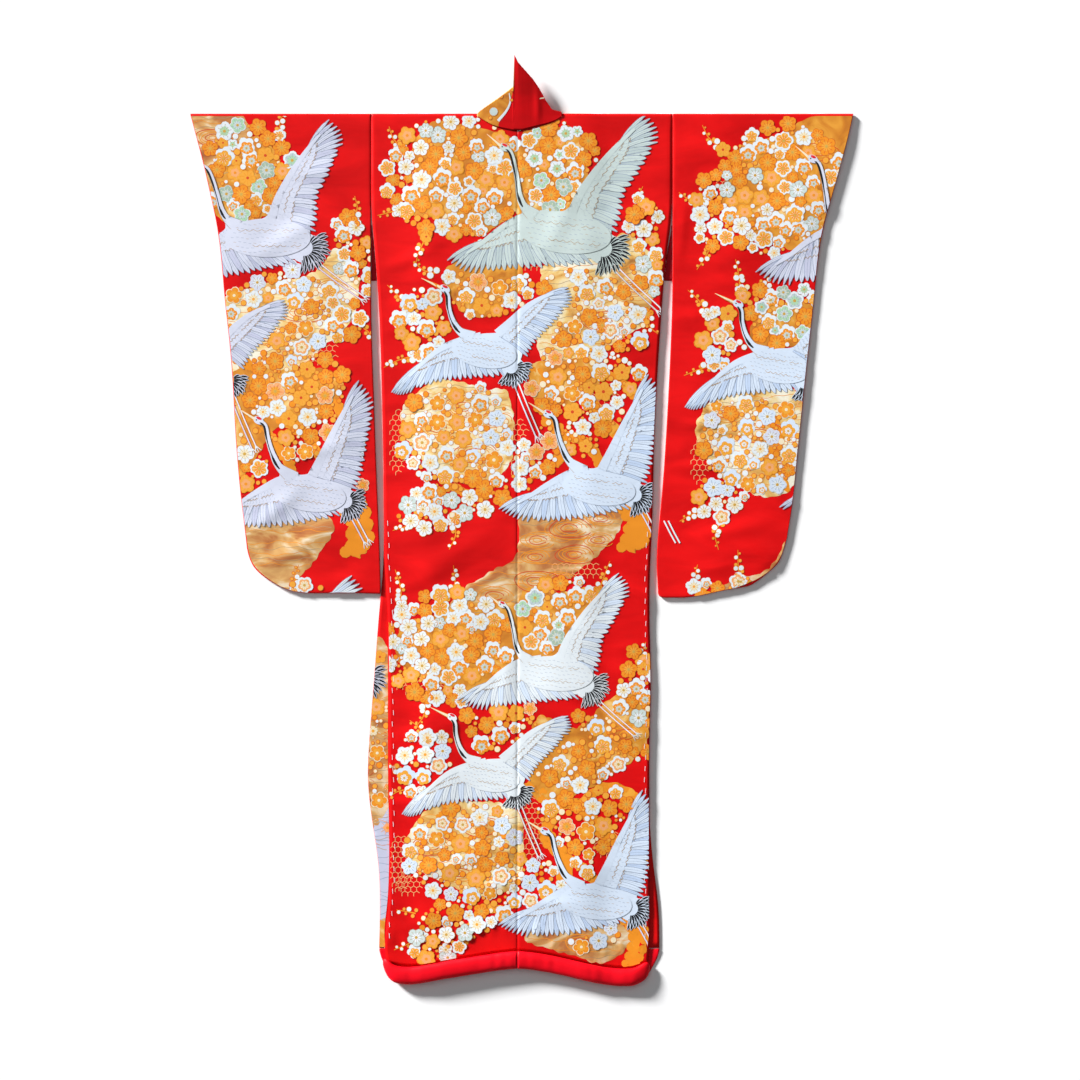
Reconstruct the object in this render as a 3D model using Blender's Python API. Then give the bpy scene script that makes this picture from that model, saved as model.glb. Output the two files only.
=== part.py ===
"""An uchikake, the long padded over-kimono of a Japanese bride, laid flat with its back up.

The garment is cut from straight lengths of brocade. Each body length runs from the back hem over
the shoulder to the front hem. A sleeve is one folded length, sewn into a long flat pocket. Two
narrow overlap panels widen the fronts, a folded band makes the collar, and a wadded roll (fuki)
ends the hem.

Lengths in the tables are millimetres. "x" is measured from the centre-back seam, plus to the
wearer's right, and "down" from the shoulder line towards the hem. The model itself is in metres,
with +Y towards the collar and +Z up, and the middle of its box on the floor at the origin.
"""

import math
from collections import namedtuple

import bpy
from mathutils import Vector

MM = 0.001

# Driving dimensions, in millimetres.
WALL = 3.0                      # brocade, wadding and lining together
SEAM_GAP = 0.3                  # between two pieces that are sewn or lie together
LAYER = WALL + SEAM_GAP
LENGTH = 1763.5                 # shoulder line to hem on the centre-back seam
ROLL_WIDTH = 38.0               # padded hem roll, across
ROLL_HEIGHT = 17.0
ROLL_END = 0.62                 # height of the roll's ends against its middle
FRONT_LENGTH = 1722.0           # shoulder line to where a front's roll is sewn on
NECK_DEPTH = 38.0               # shoulder line to the lowest point of the neckline
SLEEVE_SEAM = 188.0             # sleeve sewn to the body from the shoulder down to here
CUFF = 230.0                    # open cuff, from the shoulder down
CUFF_LIFT = 2.4                 # the cuff's two layers stand this much apart
COLLAR_WIDTH = 78.0             # folded collar band
COLLAR_LENGTH = 800.0           # shoulder line to the collar's lower end
COLLAR_WALL = 5.0               # doubled brocade over a stiff core
COLLAR_RISE = 22.0              # the standing collar's peak above the back
OVERLAP_LEFT = 136.0            # free edge of the left front, past the centre
OVERLAP_RIGHT = -174.0          # free edge of the right front, past the centre
OVERLAP_SEAM = 20.0             # overlap panel's seam, from the centre
STEP_LEFT = (-220.0, -190.0)    # the back climbs onto the right front between these
STEP_RIGHT = (150.0, 180.0)     # and comes down again off the left front here
FOLD_LIMIT = 3.4                # most that a soft fold stands off the layer below
HEM_BLEND = 1450.0              # rows below this lean towards the hem's curve
LINING = 1.5                    # bare lining in the armhole slits
LINING_END = 345.0


def table(names, *rows):
    """A short table whose columns have names."""
    Row = namedtuple("Row", names)
    return [Row(*row) for row in rows]


BODY_EDGE_LEFT = table(
    "down x", (0, -302), (SLEEVE_SEAM, -302), (281, -294), (392, -286), (566, -280), (768, -276),
    (913, -275), (1004, -268), (1107, -266), (1375, -266), (1499, -263), (1620, -266),
    (1680, -277), (1765, -278),
)
BODY_EDGE_RIGHT = table(
    "down x", (0, 320), (SLEEVE_SEAM, 320), (324, 303), (425, 296), (549, 288), (673, 282),
    (855, 278), (930, 273), (1045, 272), (1169, 276), (1300, 272), (1540, 272), (1765, 274),
)
FRONT_EDGE_LEFT = table(
    "down x", (0, -302), (SLEEVE_SEAM, -302), (281, -294), (392, -286), (566, -280), (768, -276),
    (913, -275), (1004, -284), (1169, -296), (1290, -306), (1375, -311), (1417, -309),
    (1499, -292), (1582, -283), (1660, -283), (1765, -288),
)
FRONT_EDGE_RIGHT = table(
    "down x", (0, 320), (SLEEVE_SEAM, 320), (324, 303), (425, 296), (549, 288), (673, 282),
    (855, 278), (930, 273), (1045, 272), (1169, 276), (1300, 272), (1500, 272), (1582, 286),
    (1664, 294), (1765, 292),
)
NECKLINE = table(
    "down left right", (6, -84, 93), (9, -79, 88), (14, -71, 81), (20, -61, 67), (26, -50, 46),
    (31, -34, 27), (36, -9, 9),
)
HEM = table(
    "x down", (-311, 1752), (-288, 1752), (-280, 1765), (-263, 1790), (-247, 1796), (-218, 1797),
    (-168, 1788), (-119, 1780), (-69, 1772), (0, LENGTH), (55, 1770), (104, 1780), (154, 1792),
    (203, 1800), (228, 1801), (253, 1797), (272, 1783), (292, 1756), (311, 1752),
)
SLEEVE_OUTER_LEFT = table(
    "down x", (0, -675), (8, -674), (50, -662), (95, -649), (178, -631), (260, -614), (384, -604),
    (508, -590), (673, -581), (797, -570), (921, -554), (1000, -548),
)
SLEEVE_OUTER_RIGHT = table(
    "down x", (0, 693), (8, 692), (50, 682), (95, 670), (178, 647), (260, 624), (384, 612),
    (508, 598), (673, 581), (838, 563), (921, 545), (1000, 535),
)
SLEEVE_INNER_LEFT = table(
    "down x", (0, -302.3), (384, -302.3), (595, -296), (768, -290), (913, -284), (1000, -282),
)
SLEEVE_INNER_RIGHT = table(
    "down x", (0, 320.3), (340, 320.3), (508, 315), (623, 309), (768, 300), (838, 293), (930, 286),
    (1000, 292),
)
SLEEVE_HEM_LEFT = table(
    "share down", (0, 991), (0.3, 989), (0.5, 990), (0.62, 989), (0.75, 979), (0.84, 966),
    (0.92, 951), (0.97, 936), (1, 919),
)
SLEEVE_HEM_RIGHT = table(
    "share down", (0, 999), (0.25, 999), (0.35, 995), (0.51, 986), (0.67, 979), (0.75, 976),
    (0.83, 964), (0.91, 946), (0.97, 931), (1, 917),
)
# The standing collar: its free edge above each place on the neckline, from left to right.
COLLAR_EDGE = table(
    "base_x base_down top_x top_down rise",
    (-84, 6, -83, 0.5, 0.0), (-79, 9, -77, -5, 0.03), (-71, 14, -71, -9.5, 0.07),
    (-61, 20, -61, -16.5, 0.13), (-50, 26, -50, -24, 0.2), (-34, 31, -33, -35.5, 0.3),
    (-9, 36, -8.5, -54, 0.45), (-4, 36, -6.2, -118, 1.0), (9, 36, 1, -103, 0.93),
    (27, 31, 15.5, -86.7, 0.78), (46, 26, 31.4, -69.8, 0.6), (67, 20, 45.6, -49.6, 0.42),
    (81, 14, 58, -27, 0.24), (88, 9, 70, -8, 0.12), (93, 6, 92, -3, 0.0),
)
# Soft folds of the upper layers: the middle of each, how long and wide it is, which way it runs
# (degrees from the length of the garment) and how high it stands.
BODY_FOLDS = table(
    "x down length width turn height",
    (-205, 300, 420, 46, 8, 3.0), (-120, 540, 360, 52, -24, 2.2), (205, 420, 460, 48, -6, 3.1),
    (110, 330, 300, 44, 20, 2.0), (-215, 860, 520, 50, 4, 3.3), (-90, 1010, 330, 46, 18, 2.4),
    (190, 800, 500, 46, -9, 3.2), (80, 1180, 420, 50, 14, 2.3), (-170, 1330, 460, 52, -8, 3.1),
    (215, 1260, 480, 44, 5, 3.3), (-60, 1520, 300, 48, -16, 2.2), (140, 1540, 340, 52, 12, 2.8),
)
SLEEVE_FOLDS = table(
    "x down length width turn height",
    (-560, 210, 330, 44, 10, 2.8), (-430, 330, 420, 50, -7, 3.1), (-350, 620, 460, 44, 3, 3.2),
    (-480, 700, 420, 48, 12, 3.0), (-400, 890, 200, 42, 70, 2.4),
    (590, 190, 320, 46, -12, 2.9), (450, 300, 420, 48, 8, 3.0), (375, 640, 470, 44, -4, 3.3),
    (490, 690, 380, 50, -11, 2.8), (410, 900, 210, 42, -68, 2.3),
)

RED = (0.70, 0.004, 0.012)
DARK_RED = (0.42, 0.004, 0.01)
BROCADE = (0.72, 0.16, 0.05)


def clear_scene():
    for item in list(bpy.data.objects):
        bpy.data.objects.remove(item, do_unlink=True)


def curve_at(rows, key, value, at):
    """A smooth value from a table, with no overshoot between its rows."""
    keys = [getattr(row, key) for row in rows]
    values = [getattr(row, value) for row in rows]
    if at <= keys[0]:
        return values[0]
    if at >= keys[-1]:
        return values[-1]
    slopes = [(values[i + 1] - values[i]) / (keys[i + 1] - keys[i]) for i in range(len(keys) - 1)]
    lean = [slopes[0]]
    for before, after in zip(slopes, slopes[1:]):
        lean.append(0.0 if before * after <= 0 else 2 * before * after / (before + after))
    lean.append(slopes[-1])
    i = max(k for k in range(len(keys) - 1) if keys[k] <= at)
    step = keys[i + 1] - keys[i]
    t = (at - keys[i]) / step
    return (
        values[i] * (2 * t ** 3 - 3 * t ** 2 + 1)
        + lean[i] * step * (t ** 3 - 2 * t ** 2 + t)
        + values[i + 1] * (3 * t ** 2 - 2 * t ** 3)
        + lean[i + 1] * step * (t ** 3 - t ** 2)
    )


def mix(a, b, share):
    return a + (b - a) * share


def smooth(share):
    share = min(max(share, 0.0), 1.0)
    return share * share * (3 - 2 * share)


def spread(start, end, cells):
    """Evenly spaced places from start to end, both ends in."""
    return [mix(start, end, k / cells) for k in range(cells + 1)]


def point(x, down, z):
    """A place on the garment, given in millimetres, as a point in metres."""
    return Vector((x * MM, -down * MM, z * MM))


def make_object(name, points, faces, colour, roughness=0.5):
    mesh = bpy.data.meshes.new(name)
    mesh.from_pydata(points, [], faces)
    mesh.update()
    material = bpy.data.materials.new(name)
    material.use_nodes = True
    shader = material.node_tree.nodes["Principled BSDF"]
    shader.inputs["Base Color"].default_value = (*colour, 1.0)
    shader.inputs["Roughness"].default_value = roughness
    shader.inputs["Metallic"].default_value = 0.0
    mesh.materials.append(material)
    mesh.shade_smooth()
    mesh.set_sharp_from_angle(angle=math.radians(40))
    item = bpy.data.objects.new(name, mesh)
    bpy.context.scene.collection.objects.link(item)
    return item


def sheet_wall(name, outer, inner, colour):
    """A closed wall between two grids of the same size, the outside and the inside of a cloth."""
    rows, columns = len(outer), len(outer[0])
    points = [p for row in outer for p in row] + [p for row in inner for p in row]
    under = rows * columns

    def at(r, c):
        return r * columns + c

    faces = []
    for r in range(rows - 1):
        for c in range(columns - 1):
            quad = [at(r, c), at(r, c + 1), at(r + 1, c + 1), at(r + 1, c)]
            faces.append(quad)
            faces.append([k + under for k in reversed(quad)])
    rim = [at(0, c) for c in range(columns)]
    rim += [at(r, columns - 1) for r in range(1, rows)]
    rim += [at(rows - 1, c) for c in range(columns - 2, -1, -1)]
    rim += [at(r, 0) for r in range(rows - 2, 0, -1)]
    for a, b in zip(rim, rim[1:] + rim[:1]):
        faces.append([b, a, a + under, b + under])
    return make_object(name, points, faces, colour)


def tube_wall(name, outer, inner, colour):
    """A closed wall between two sets of closed rings, open at both ends of the tube."""
    stations, count = len(outer), len(outer[0])
    points = [p for ring in outer for p in ring] + [p for ring in inner for p in ring]
    under = stations * count
    faces = []
    for s in range(stations - 1):
        for k in range(count):
            after = (k + 1) % count
            quad = [s * count + k, s * count + after, (s + 1) * count + after, (s + 1) * count + k]
            faces.append(quad)
            faces.append([n + under for n in reversed(quad)])
    for s in (0, stations - 1):
        for k in range(count):
            a, b = s * count + k, s * count + (k + 1) % count
            rim = [b, a, a + under, b + under]
            faces.append(rim if s == 0 else rim[::-1])
    return make_object(name, points, faces, colour)


def solid_loft(name, sections, colour):
    """A closed body through sections of the same number of points."""
    count = len(sections[0])
    points = [p for section in sections for p in section]
    faces = [list(range(count))[::-1]]
    faces.append([(len(sections) - 1) * count + k for k in range(count)])
    for s in range(len(sections) - 1):
        for k in range(count):
            after = (k + 1) % count
            faces.append(
                [s * count + k, s * count + after, (s + 1) * count + after, (s + 1) * count + k]
            )
    return make_object(name, points, faces, colour)


def face_out(item):
    """Turns a body's faces over if they point in."""
    mesh = item.data
    volume = 0.0
    for face in mesh.polygons:
        corners = [mesh.vertices[k].co for k in face.vertices]
        for k in range(1, len(corners) - 1):
            volume += corners[0].dot(corners[k].cross(corners[k + 1]))
    if volume < 0:
        mesh.flip_normals()


def step_share(x):
    """How far the right front lies on the left one: 1 over the overlap, 0 beyond it."""
    if x < STEP_LEFT[1]:
        return max(0.0, (x - STEP_LEFT[0]) / (STEP_LEFT[1] - STEP_LEFT[0]))
    if x > STEP_RIGHT[0]:
        return max(0.0, (STEP_RIGHT[1] - x) / (STEP_RIGHT[1] - STEP_RIGHT[0]))
    return 1.0


def back_height(x):
    """Underside of the back, which lies on the fronts."""
    return LAYER * (1 + step_share(x))


def front_height(side, x):
    """Underside of a front: the left one on the floor, the right one partly on the left one."""
    if side < 0 or x > STEP_RIGHT[1]:
        return 0.0
    return LAYER * step_share(max(x, STEP_LEFT[1]))


def fold_height(folds, x, down):
    """How far soft folds lift the cloth here."""
    lift = 0.0
    for fold in folds:
        turn = math.radians(fold.turn)
        across = (x - fold.x) * math.cos(turn) + (down - fold.down) * math.sin(turn)
        along = (down - fold.down) * math.cos(turn) - (x - fold.x) * math.sin(turn)
        if abs(along) < fold.length / 2:
            fade = math.cos(math.pi * along / fold.length) ** 2
            lift += fold.height * fade * math.exp(-((across / fold.width) ** 2))
    return min(lift, FOLD_LIMIT)


def hem_down(x):
    return curve_at(HEM, "x", "down", x)


def collar_seam(side, down):
    """Where the collar is sewn to a front: a straight slant from the neck to the free edge."""
    if side < 0:
        return mix(NECKLINE[0].left, OVERLAP_LEFT - COLLAR_WIDTH, down / COLLAR_LENGTH)
    return mix(NECKLINE[0].right, OVERLAP_RIGHT + COLLAR_WIDTH, down / COLLAR_LENGTH)


def collar_meets_overlap(side):
    """How far down the overlap panel's pointed top lies, where its seam meets the collar's."""
    start, end = collar_seam(side, 0), collar_seam(side, COLLAR_LENGTH)
    return COLLAR_LENGTH * (side * OVERLAP_SEAM - start) / (end - start)


def body_columns(side, edge, inner):
    """Column places across one body panel, from its outer edge to its inner one."""
    first, second = STEP_LEFT if side < 0 else (STEP_RIGHT[1], STEP_RIGHT[0])
    outside = spread(edge, first, 3)[:-1]
    return outside + [first] + spread(second, inner, 5)


def back_edge(side, down):
    return curve_at(BODY_EDGE_LEFT if side < 0 else BODY_EDGE_RIGHT, "down", "x", down)


def front_edge(side, down):
    return curve_at(FRONT_EDGE_LEFT if side < 0 else FRONT_EDGE_RIGHT, "down", "x", down)


def hem_lean(x, down):
    """The actual place down the garment of a row, which leans to the curved hem near it."""
    share = smooth((down - HEM_BLEND) / (LENGTH - ROLL_WIDTH - HEM_BLEND))
    return down + (hem_down(x) - LENGTH) * share


def back_panel_rows(side):
    """Rows of the back from its hem up to the shoulder, each a list of (x, down)."""
    rows = []
    for down in reversed(spread(NECK_DEPTH, LENGTH - ROLL_WIDTH, 36)):
        columns = body_columns(side, back_edge(side, down), side * SEAM_GAP / 2)
        rows.append([(x, hem_lean(x, down)) for x in columns])
    for row in reversed(NECKLINE):
        inner = row.left if side < 0 else row.right
        columns = body_columns(side, back_edge(side, row.down), inner)
        rows.append([(x, row.down) for x in columns])
    return rows


def front_panel_rows(side):
    """Rows of the front from the shoulder down to its hem, each a list of (x, down)."""
    meet = collar_meets_overlap(side)
    downs = [NECKLINE[0].down] + spread(70, meet, 4) + spread(430, FRONT_LENGTH, 15)
    rows = []
    for down in downs:
        inner = collar_seam(side, down) if down < meet else side * OVERLAP_SEAM
        inner += side * SEAM_GAP / 2
        rows.append([(x, down) for x in body_columns(side, front_edge(side, down), inner)])
    return rows


def shoulder_rows(side):
    """The fold over the shoulder: outside and inside points round half a turn."""
    start = NECKLINE[0]
    inner = start.left if side < 0 else start.right
    columns = body_columns(side, back_edge(side, start.down), inner)
    outer_rows, inner_rows = [], []
    for turn in (30, 60, 90, 120, 150):
        angle = math.radians(turn)
        outer_row, inner_row = [], []
        for x in columns:
            top = back_height(x) + WALL
            low = front_height(side, x)
            middle, reach = (top + low) / 2, (top - low) / 2
            for row, radius in ((outer_row, reach), (inner_row, reach - WALL)):
                rise = start.down * radius / reach
                row.append(point(x, start.down - rise * math.sin(angle), middle + radius * math.cos(angle)))
        outer_rows.append(outer_row)
        inner_rows.append(inner_row)
    return outer_rows, inner_rows


def seam_fade(x, down, left, right):
    """Folds die out towards a panel's seams, its hem and the shoulder."""
    side_ways = min(abs(x - left), abs(right - x)) / 45
    end_ways = min(down - 50, LENGTH - 90 - down) / 80
    return smooth(side_ways) * smooth(end_ways)


def body_panel(name, side):
    """One body length: the back, the fold over the shoulder and the front, in one cloth."""
    outer, inner = [], []
    for row in back_panel_rows(side):
        edges = sorted((row[0][0], row[-1][0]))
        lifts = [fold_height(BODY_FOLDS, x, d) * seam_fade(x, d, *edges) for x, d in row]
        outer.append([point(x, d, back_height(x) + WALL + up) for (x, d), up in zip(row, lifts)])
        inner.append([point(x, d, back_height(x) + up) for (x, d), up in zip(row, lifts)])
    fold_outer, fold_inner = shoulder_rows(side)
    outer += fold_outer
    inner += fold_inner
    for row in front_panel_rows(side):
        outer.append([point(x, d, front_height(side, x)) for x, d in row])
        inner.append([point(x, d, front_height(side, x) + WALL) for x, d in row])
    return sheet_wall(name, outer, inner, BROCADE)


def flat_slab(name, rows, low, high, colour):
    """A cloth piece that lies level, from rows of (x, down) between two heights."""
    outer = [[point(x, d, high(x)) for x, d in row] for row in rows]
    inner = [[point(x, d, low(x)) for x, d in row] for row in rows]
    return sheet_wall(name, outer, inner, colour)


def overlap_panel(name, side):
    """Okumi: the narrow panel that widens a front, pointed where it meets the collar."""
    meet = collar_meets_overlap(side)
    free = OVERLAP_LEFT if side < 0 else OVERLAP_RIGHT
    seam = side * (OVERLAP_SEAM - SEAM_GAP / 2)
    rows = []
    for down in spread(meet + 12, COLLAR_LENGTH, 6):
        rows.append([(x, down) for x in spread(seam, collar_seam(side, down) + side * SEAM_GAP / 2, 3)])
    for down in spread(COLLAR_LENGTH + 3, FRONT_LENGTH, 8):
        rows.append([(x, down) for x in spread(seam, free, 3)])
    base = 0.0 if side < 0 else LAYER
    return flat_slab(name, rows, lambda x: base, lambda x: base + WALL, BROCADE)


def collar_strip(name, side):
    """The folded collar band down one front."""
    rows = []
    for down in spread(NECKLINE[0].down, COLLAR_LENGTH - SEAM_GAP, 10):
        sewn = collar_seam(side, down) - side * SEAM_GAP / 2
        rows.append([(x, down) for x in spread(sewn, sewn - side * (COLLAR_WIDTH - 1), 2)])
    base = 0.0 if side < 0 else LAYER
    return flat_slab(name, rows, lambda x: base, lambda x: base + WALL, BROCADE)


def standing_collar(name):
    """The collar behind the neck: it stands off the neckline and is folded to a peak."""
    outer, inner = [], []
    base = 2 * LAYER
    for column in COLLAR_EDGE:
        upper_row, lower_row = [], []
        for share in spread(0, 1, 6):
            x = mix(column.base_x, column.top_x, share)
            down = mix(column.base_down - 2 * SEAM_GAP, column.top_down, share)
            z = base + COLLAR_RISE * column.rise * share ** 1.3
            upper_row.append(point(x, down, z + COLLAR_WALL))
            lower_row.append(point(x, down, z))
        outer.append(upper_row)
        inner.append(lower_row)
    return sheet_wall(name, outer, inner, RED)


def sleeve_cuff_lift(share, down):
    """The open cuff: its layers part near the wrist edge, above where they are sewn together."""
    return CUFF_LIFT * smooth((share - 0.8) / 0.2) * smooth((CUFF - down) / 50) * smooth(down / 60)


def sleeve(name, side):
    """One sleeve: a folded length, sewn along its foot and its outer side below the cuff."""
    outer_edge = SLEEVE_OUTER_LEFT if side < 0 else SLEEVE_OUTER_RIGHT
    inner_edge = SLEEVE_INNER_LEFT if side < 0 else SLEEVE_INNER_RIGHT
    foot = SLEEVE_HEM_LEFT if side < 0 else SLEEVE_HEM_RIGHT
    middle = WALL + SEAM_GAP / 2
    outer, inner = [], []
    for share in (0, 0.1, 0.22, 0.34, 0.46, 0.58, 0.68, 0.77, 0.85, 0.92, 0.97, 1):
        bottom = curve_at(foot, "share", "down", share)
        outer_ring, inner_ring = [], []

        def place(down):
            near = curve_at(inner_edge, "down", "x", down)
            far = curve_at(outer_edge, "down", "x", down)
            return mix(near, far, share)

        def turn(start, sign):
            for degrees in (45, 90, 135):
                angle = math.radians(degrees)
                height = sign * math.cos(angle)
                for ring, radius in ((outer_ring, middle), (inner_ring, SEAM_GAP / 2)):
                    down = start + sign * radius * math.sin(angle)
                    ring.append(point(place(down), down, middle + radius * height))

        for down in spread(middle, bottom - middle, 21):
            x = place(down)
            fade = smooth(min(share, 1 - share) / 0.16) * smooth(min(down, bottom - down) / 80)
            lift = fold_height(SLEEVE_FOLDS, x, down) * fade + sleeve_cuff_lift(share, down)
            outer_ring.append(point(x, down, LAYER + WALL + lift))
            inner_ring.append(point(x, down, LAYER + lift))
        turn(bottom - middle, 1)
        for down in spread(bottom - middle, middle, 12):
            outer_ring.append(point(place(down), down, 0))
            inner_ring.append(point(place(down), down, WALL))
        turn(middle, -1)
        outer.append(outer_ring)
        inner.append(inner_ring)
    return tube_wall(name, outer, inner, BROCADE)


def back_roll(name, side):
    """The wadded roll along half of the back hem, flat below and round above."""
    last = back_panel_rows(side)[0]
    profile = (
        (0, 0), (0.45, 0), (0.9, 0), (1, 0.28), (0.96, 0.6), (0.82, 0.86), (0.6, 1),
        (0.36, 0.98), (0.14, 0.8), (0, 0.46),
    )
    sections = []
    for k, (x, sewn) in enumerate(last):
        width = hem_down(x) - sewn - SEAM_GAP
        height = ROLL_HEIGHT * (ROLL_END if k == 0 else 1)
        base = back_height(x)
        sections.append(
            [point(x, sewn + SEAM_GAP + width * out, base + height * up) for out, up in profile]
        )
    return solid_loft(name, sections, RED)


def front_roll(name, side):
    """The roll along a front's hem, pressed flat by the back hem that lies on it."""
    free = OVERLAP_LEFT if side < 0 else OVERLAP_RIGHT
    edge = front_edge(side, FRONT_LENGTH)
    places = spread(edge, STEP_LEFT[1], 4) + spread(STEP_LEFT[1], free, 7)[1:]
    if side > 0:
        places = spread(edge, STEP_RIGHT[1], 4) + spread(STEP_RIGHT[0], free, 7)
    rows = []
    for share in spread(0, 1, 2):
        rows.append([(x, mix(FRONT_LENGTH + SEAM_GAP, hem_down(x) - 1, share)) for x in places])
    return flat_slab(
        name, rows, lambda x: front_height(side, x), lambda x: front_height(side, x) + WALL, RED
    )


def armhole_lining(name, side):
    """The bare lining between sleeve and body, seen in the slit below the armhole."""
    sleeve_edge = SLEEVE_INNER_LEFT if side < 0 else SLEEVE_INNER_RIGHT
    rows = []
    for down in spread(SLEEVE_SEAM + 30, LINING_END, 8):
        near_sleeve = curve_at(sleeve_edge, "down", "x", down) - side * 2 * SEAM_GAP
        near_body = back_edge(side, down) + side * 3 * SEAM_GAP
        rows.append([(near_sleeve, down), (near_body, down)])
    return flat_slab(name, rows, lambda x: 0.0, lambda x: LINING, DARK_RED)


def centre_on_floor(items):
    """Moves the meshes so that the middle of the whole box's base is the origin."""
    corners = [v.co for item in items for v in item.data.vertices]
    low = Vector([min(c[k] for c in corners) for k in range(3)])
    high = Vector([max(c[k] for c in corners) for k in range(3)])
    shift = Vector(((low.x + high.x) / 2, (low.y + high.y) / 2, low.z))
    for item in items:
        for vertex in item.data.vertices:
            vertex.co -= shift
        item.data.update()


def build():
    clear_scene()
    items = [standing_collar("collar_neck")]
    for word, side in (("left", -1), ("right", 1)):
        items.append(body_panel("body_" + word, side))
        items.append(overlap_panel("okumi_" + word, side))
        items.append(collar_strip("collar_" + word, side))
        items.append(sleeve("sleeve_" + word, side))
        items.append(back_roll("fuki_back_" + word, side))
        items.append(front_roll("fuki_front_" + word, side))
        items.append(armhole_lining("lining_armhole_" + word, side))
    for item in items:
        face_out(item)
    centre_on_floor(items)


build()
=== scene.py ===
"""The looks of an uchikake laid flat with its back up: cloth, brocade figures, light and camera.

Lengths in the tables are centimetres on the garment: "x" from the centre-back seam, plus to the
right of the picture, and "down" from the shoulder line towards the hem. Heights are millimetres.
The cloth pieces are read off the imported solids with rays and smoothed. The brocade's figures are
thin raised shapes that lie on the cloth, as the long weft floats of such a weave do.
"""

import math
import random
from collections import namedtuple

import bmesh
import bpy
import numpy as np
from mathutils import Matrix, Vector
from mathutils.bvhtree import BVHTree
from mathutils.geometry import delaunay_2d_cdt
from mathutils.kdtree import KDTree


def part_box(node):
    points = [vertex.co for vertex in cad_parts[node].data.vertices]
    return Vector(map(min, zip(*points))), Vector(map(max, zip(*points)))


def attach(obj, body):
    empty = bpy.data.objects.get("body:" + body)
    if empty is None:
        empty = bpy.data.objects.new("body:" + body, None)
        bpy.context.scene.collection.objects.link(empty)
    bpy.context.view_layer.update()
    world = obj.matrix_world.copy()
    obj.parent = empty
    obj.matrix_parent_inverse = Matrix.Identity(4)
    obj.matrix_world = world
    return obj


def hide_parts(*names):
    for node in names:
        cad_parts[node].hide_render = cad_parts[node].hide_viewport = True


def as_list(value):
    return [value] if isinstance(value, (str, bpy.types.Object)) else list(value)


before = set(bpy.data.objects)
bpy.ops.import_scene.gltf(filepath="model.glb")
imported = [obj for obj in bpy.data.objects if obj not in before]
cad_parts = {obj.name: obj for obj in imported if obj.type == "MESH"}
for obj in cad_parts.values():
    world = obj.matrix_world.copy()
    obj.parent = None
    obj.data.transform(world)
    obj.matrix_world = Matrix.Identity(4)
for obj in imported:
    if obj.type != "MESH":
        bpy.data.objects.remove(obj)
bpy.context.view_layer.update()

CM = 0.01
MM = 0.001
SHELL = 2.4 * MM                # wall of the cloth shells
UPPER = 5.9 * MM                # anything higher than this is the upper of two layers
FOLD = 3.1 * MM                 # how far a sleeve's folds at its top and foot stand out
GRID = 6.0 * MM                 # spacing of the shells' points
RASTER = 6.0 * MM               # spacing of the rays that read a solid's upper side
SOFTEN = 15.0 * MM              # how far the solids' facets are smoothed
PAST = 0.01                     # how far past a piece's box its edge is looked for
SEAM_X = (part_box("body_left")[1].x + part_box("body_right")[0].x) / 2
SHOULDER_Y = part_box("body_left")[1].y
BODY_Y = -0.5                   # where along the picture both body lengths are whole
FOLD_START = SHOULDER_Y - 0.0065    # where the backs begin to turn over the shoulder
WORDS = {-1: "left", 1: "right"}
SEED = 11


def table(names, *rows):
    """A short table whose columns have names."""
    Row = namedtuple("Row", names)
    return [Row(*row) for row in rows]


def by_cloth(names, **groups):
    """Such a table for each stretch of cloth."""
    return {cloth: table(names, *rows) for cloth, rows in groups.items()}


def on_garment(points):
    """Plan points in centimetres from the seam and the shoulder, as world x and y in metres."""
    points = np.asarray(points, float).reshape(-1, 2)
    return np.column_stack((SEAM_X + points[:, 0] * CM, SHOULDER_Y - points[:, 1] * CM))


def from_garment(points):
    """World places in plan as centimetres from the seam and down from the shoulder line."""
    return (points[:, 0] - SEAM_X) / CM, (SHOULDER_Y - points[:, 1]) / CM


def smooth(share):
    share = np.clip(share, 0.0, 1.0)
    return share * share * (3 - 2 * share)


def cos_sin(degrees):
    """The cosine and the sine of an angle in degrees."""
    return math.cos(math.radians(degrees)), math.sin(math.radians(degrees))


# ---------------------------------------------------------------- reading the solids

class Solid:
    """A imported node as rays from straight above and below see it."""

    def __init__(self, name):
        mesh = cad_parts[name].data
        corners = [v.co.copy() for v in mesh.vertices]
        self.tree = BVHTree.FromPolygons(corners, [list(p.vertices) for p in mesh.polygons])

    def top(self, x, y):
        hit = self.tree.ray_cast(Vector((x, y, 1.0)), Vector((0, 0, -1)))[0]
        return hit.z if hit else None

    def under(self, x, y):
        hit = self.tree.ray_cast(Vector((x, y, -1.0)), Vector((0, 0, 1)))[0]
        return hit.z if hit else None

    def has_top(self, x, y):
        z = self.top(x, y)
        return z is not None and z > UPPER

    def has_under(self, x, y):
        z = self.under(x, y)
        return z is not None and z < UPPER


def reach(test, start, end):
    """The last place that passes the test on the way from start to end, as a share of it."""
    if test(*end):
        return 1.0
    low, high = 0.0, 1.0
    for _ in range(17):
        middle = (low + high) / 2
        x = start[0] + (end[0] - start[0]) * middle
        y = start[1] + (end[1] - start[1]) * middle
        if test(x, y):
            low = middle
        else:
            high = middle
    return low


def edge_x(test, start_x, end_x, ys):
    """Where a piece ends at each y, going from start_x towards end_x."""
    return np.array([
        start_x + (end_x - start_x) * reach(test, (start_x, y), (end_x, y)) for y in ys
    ])


def edge_y(test, start_y, end_y, xs):
    """Where a piece ends at each x, going from start_y towards end_y."""
    return np.array([
        start_y + (end_y - start_y) * reach(test, (x, start_y), (x, end_y)) for x in xs
    ])


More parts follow.
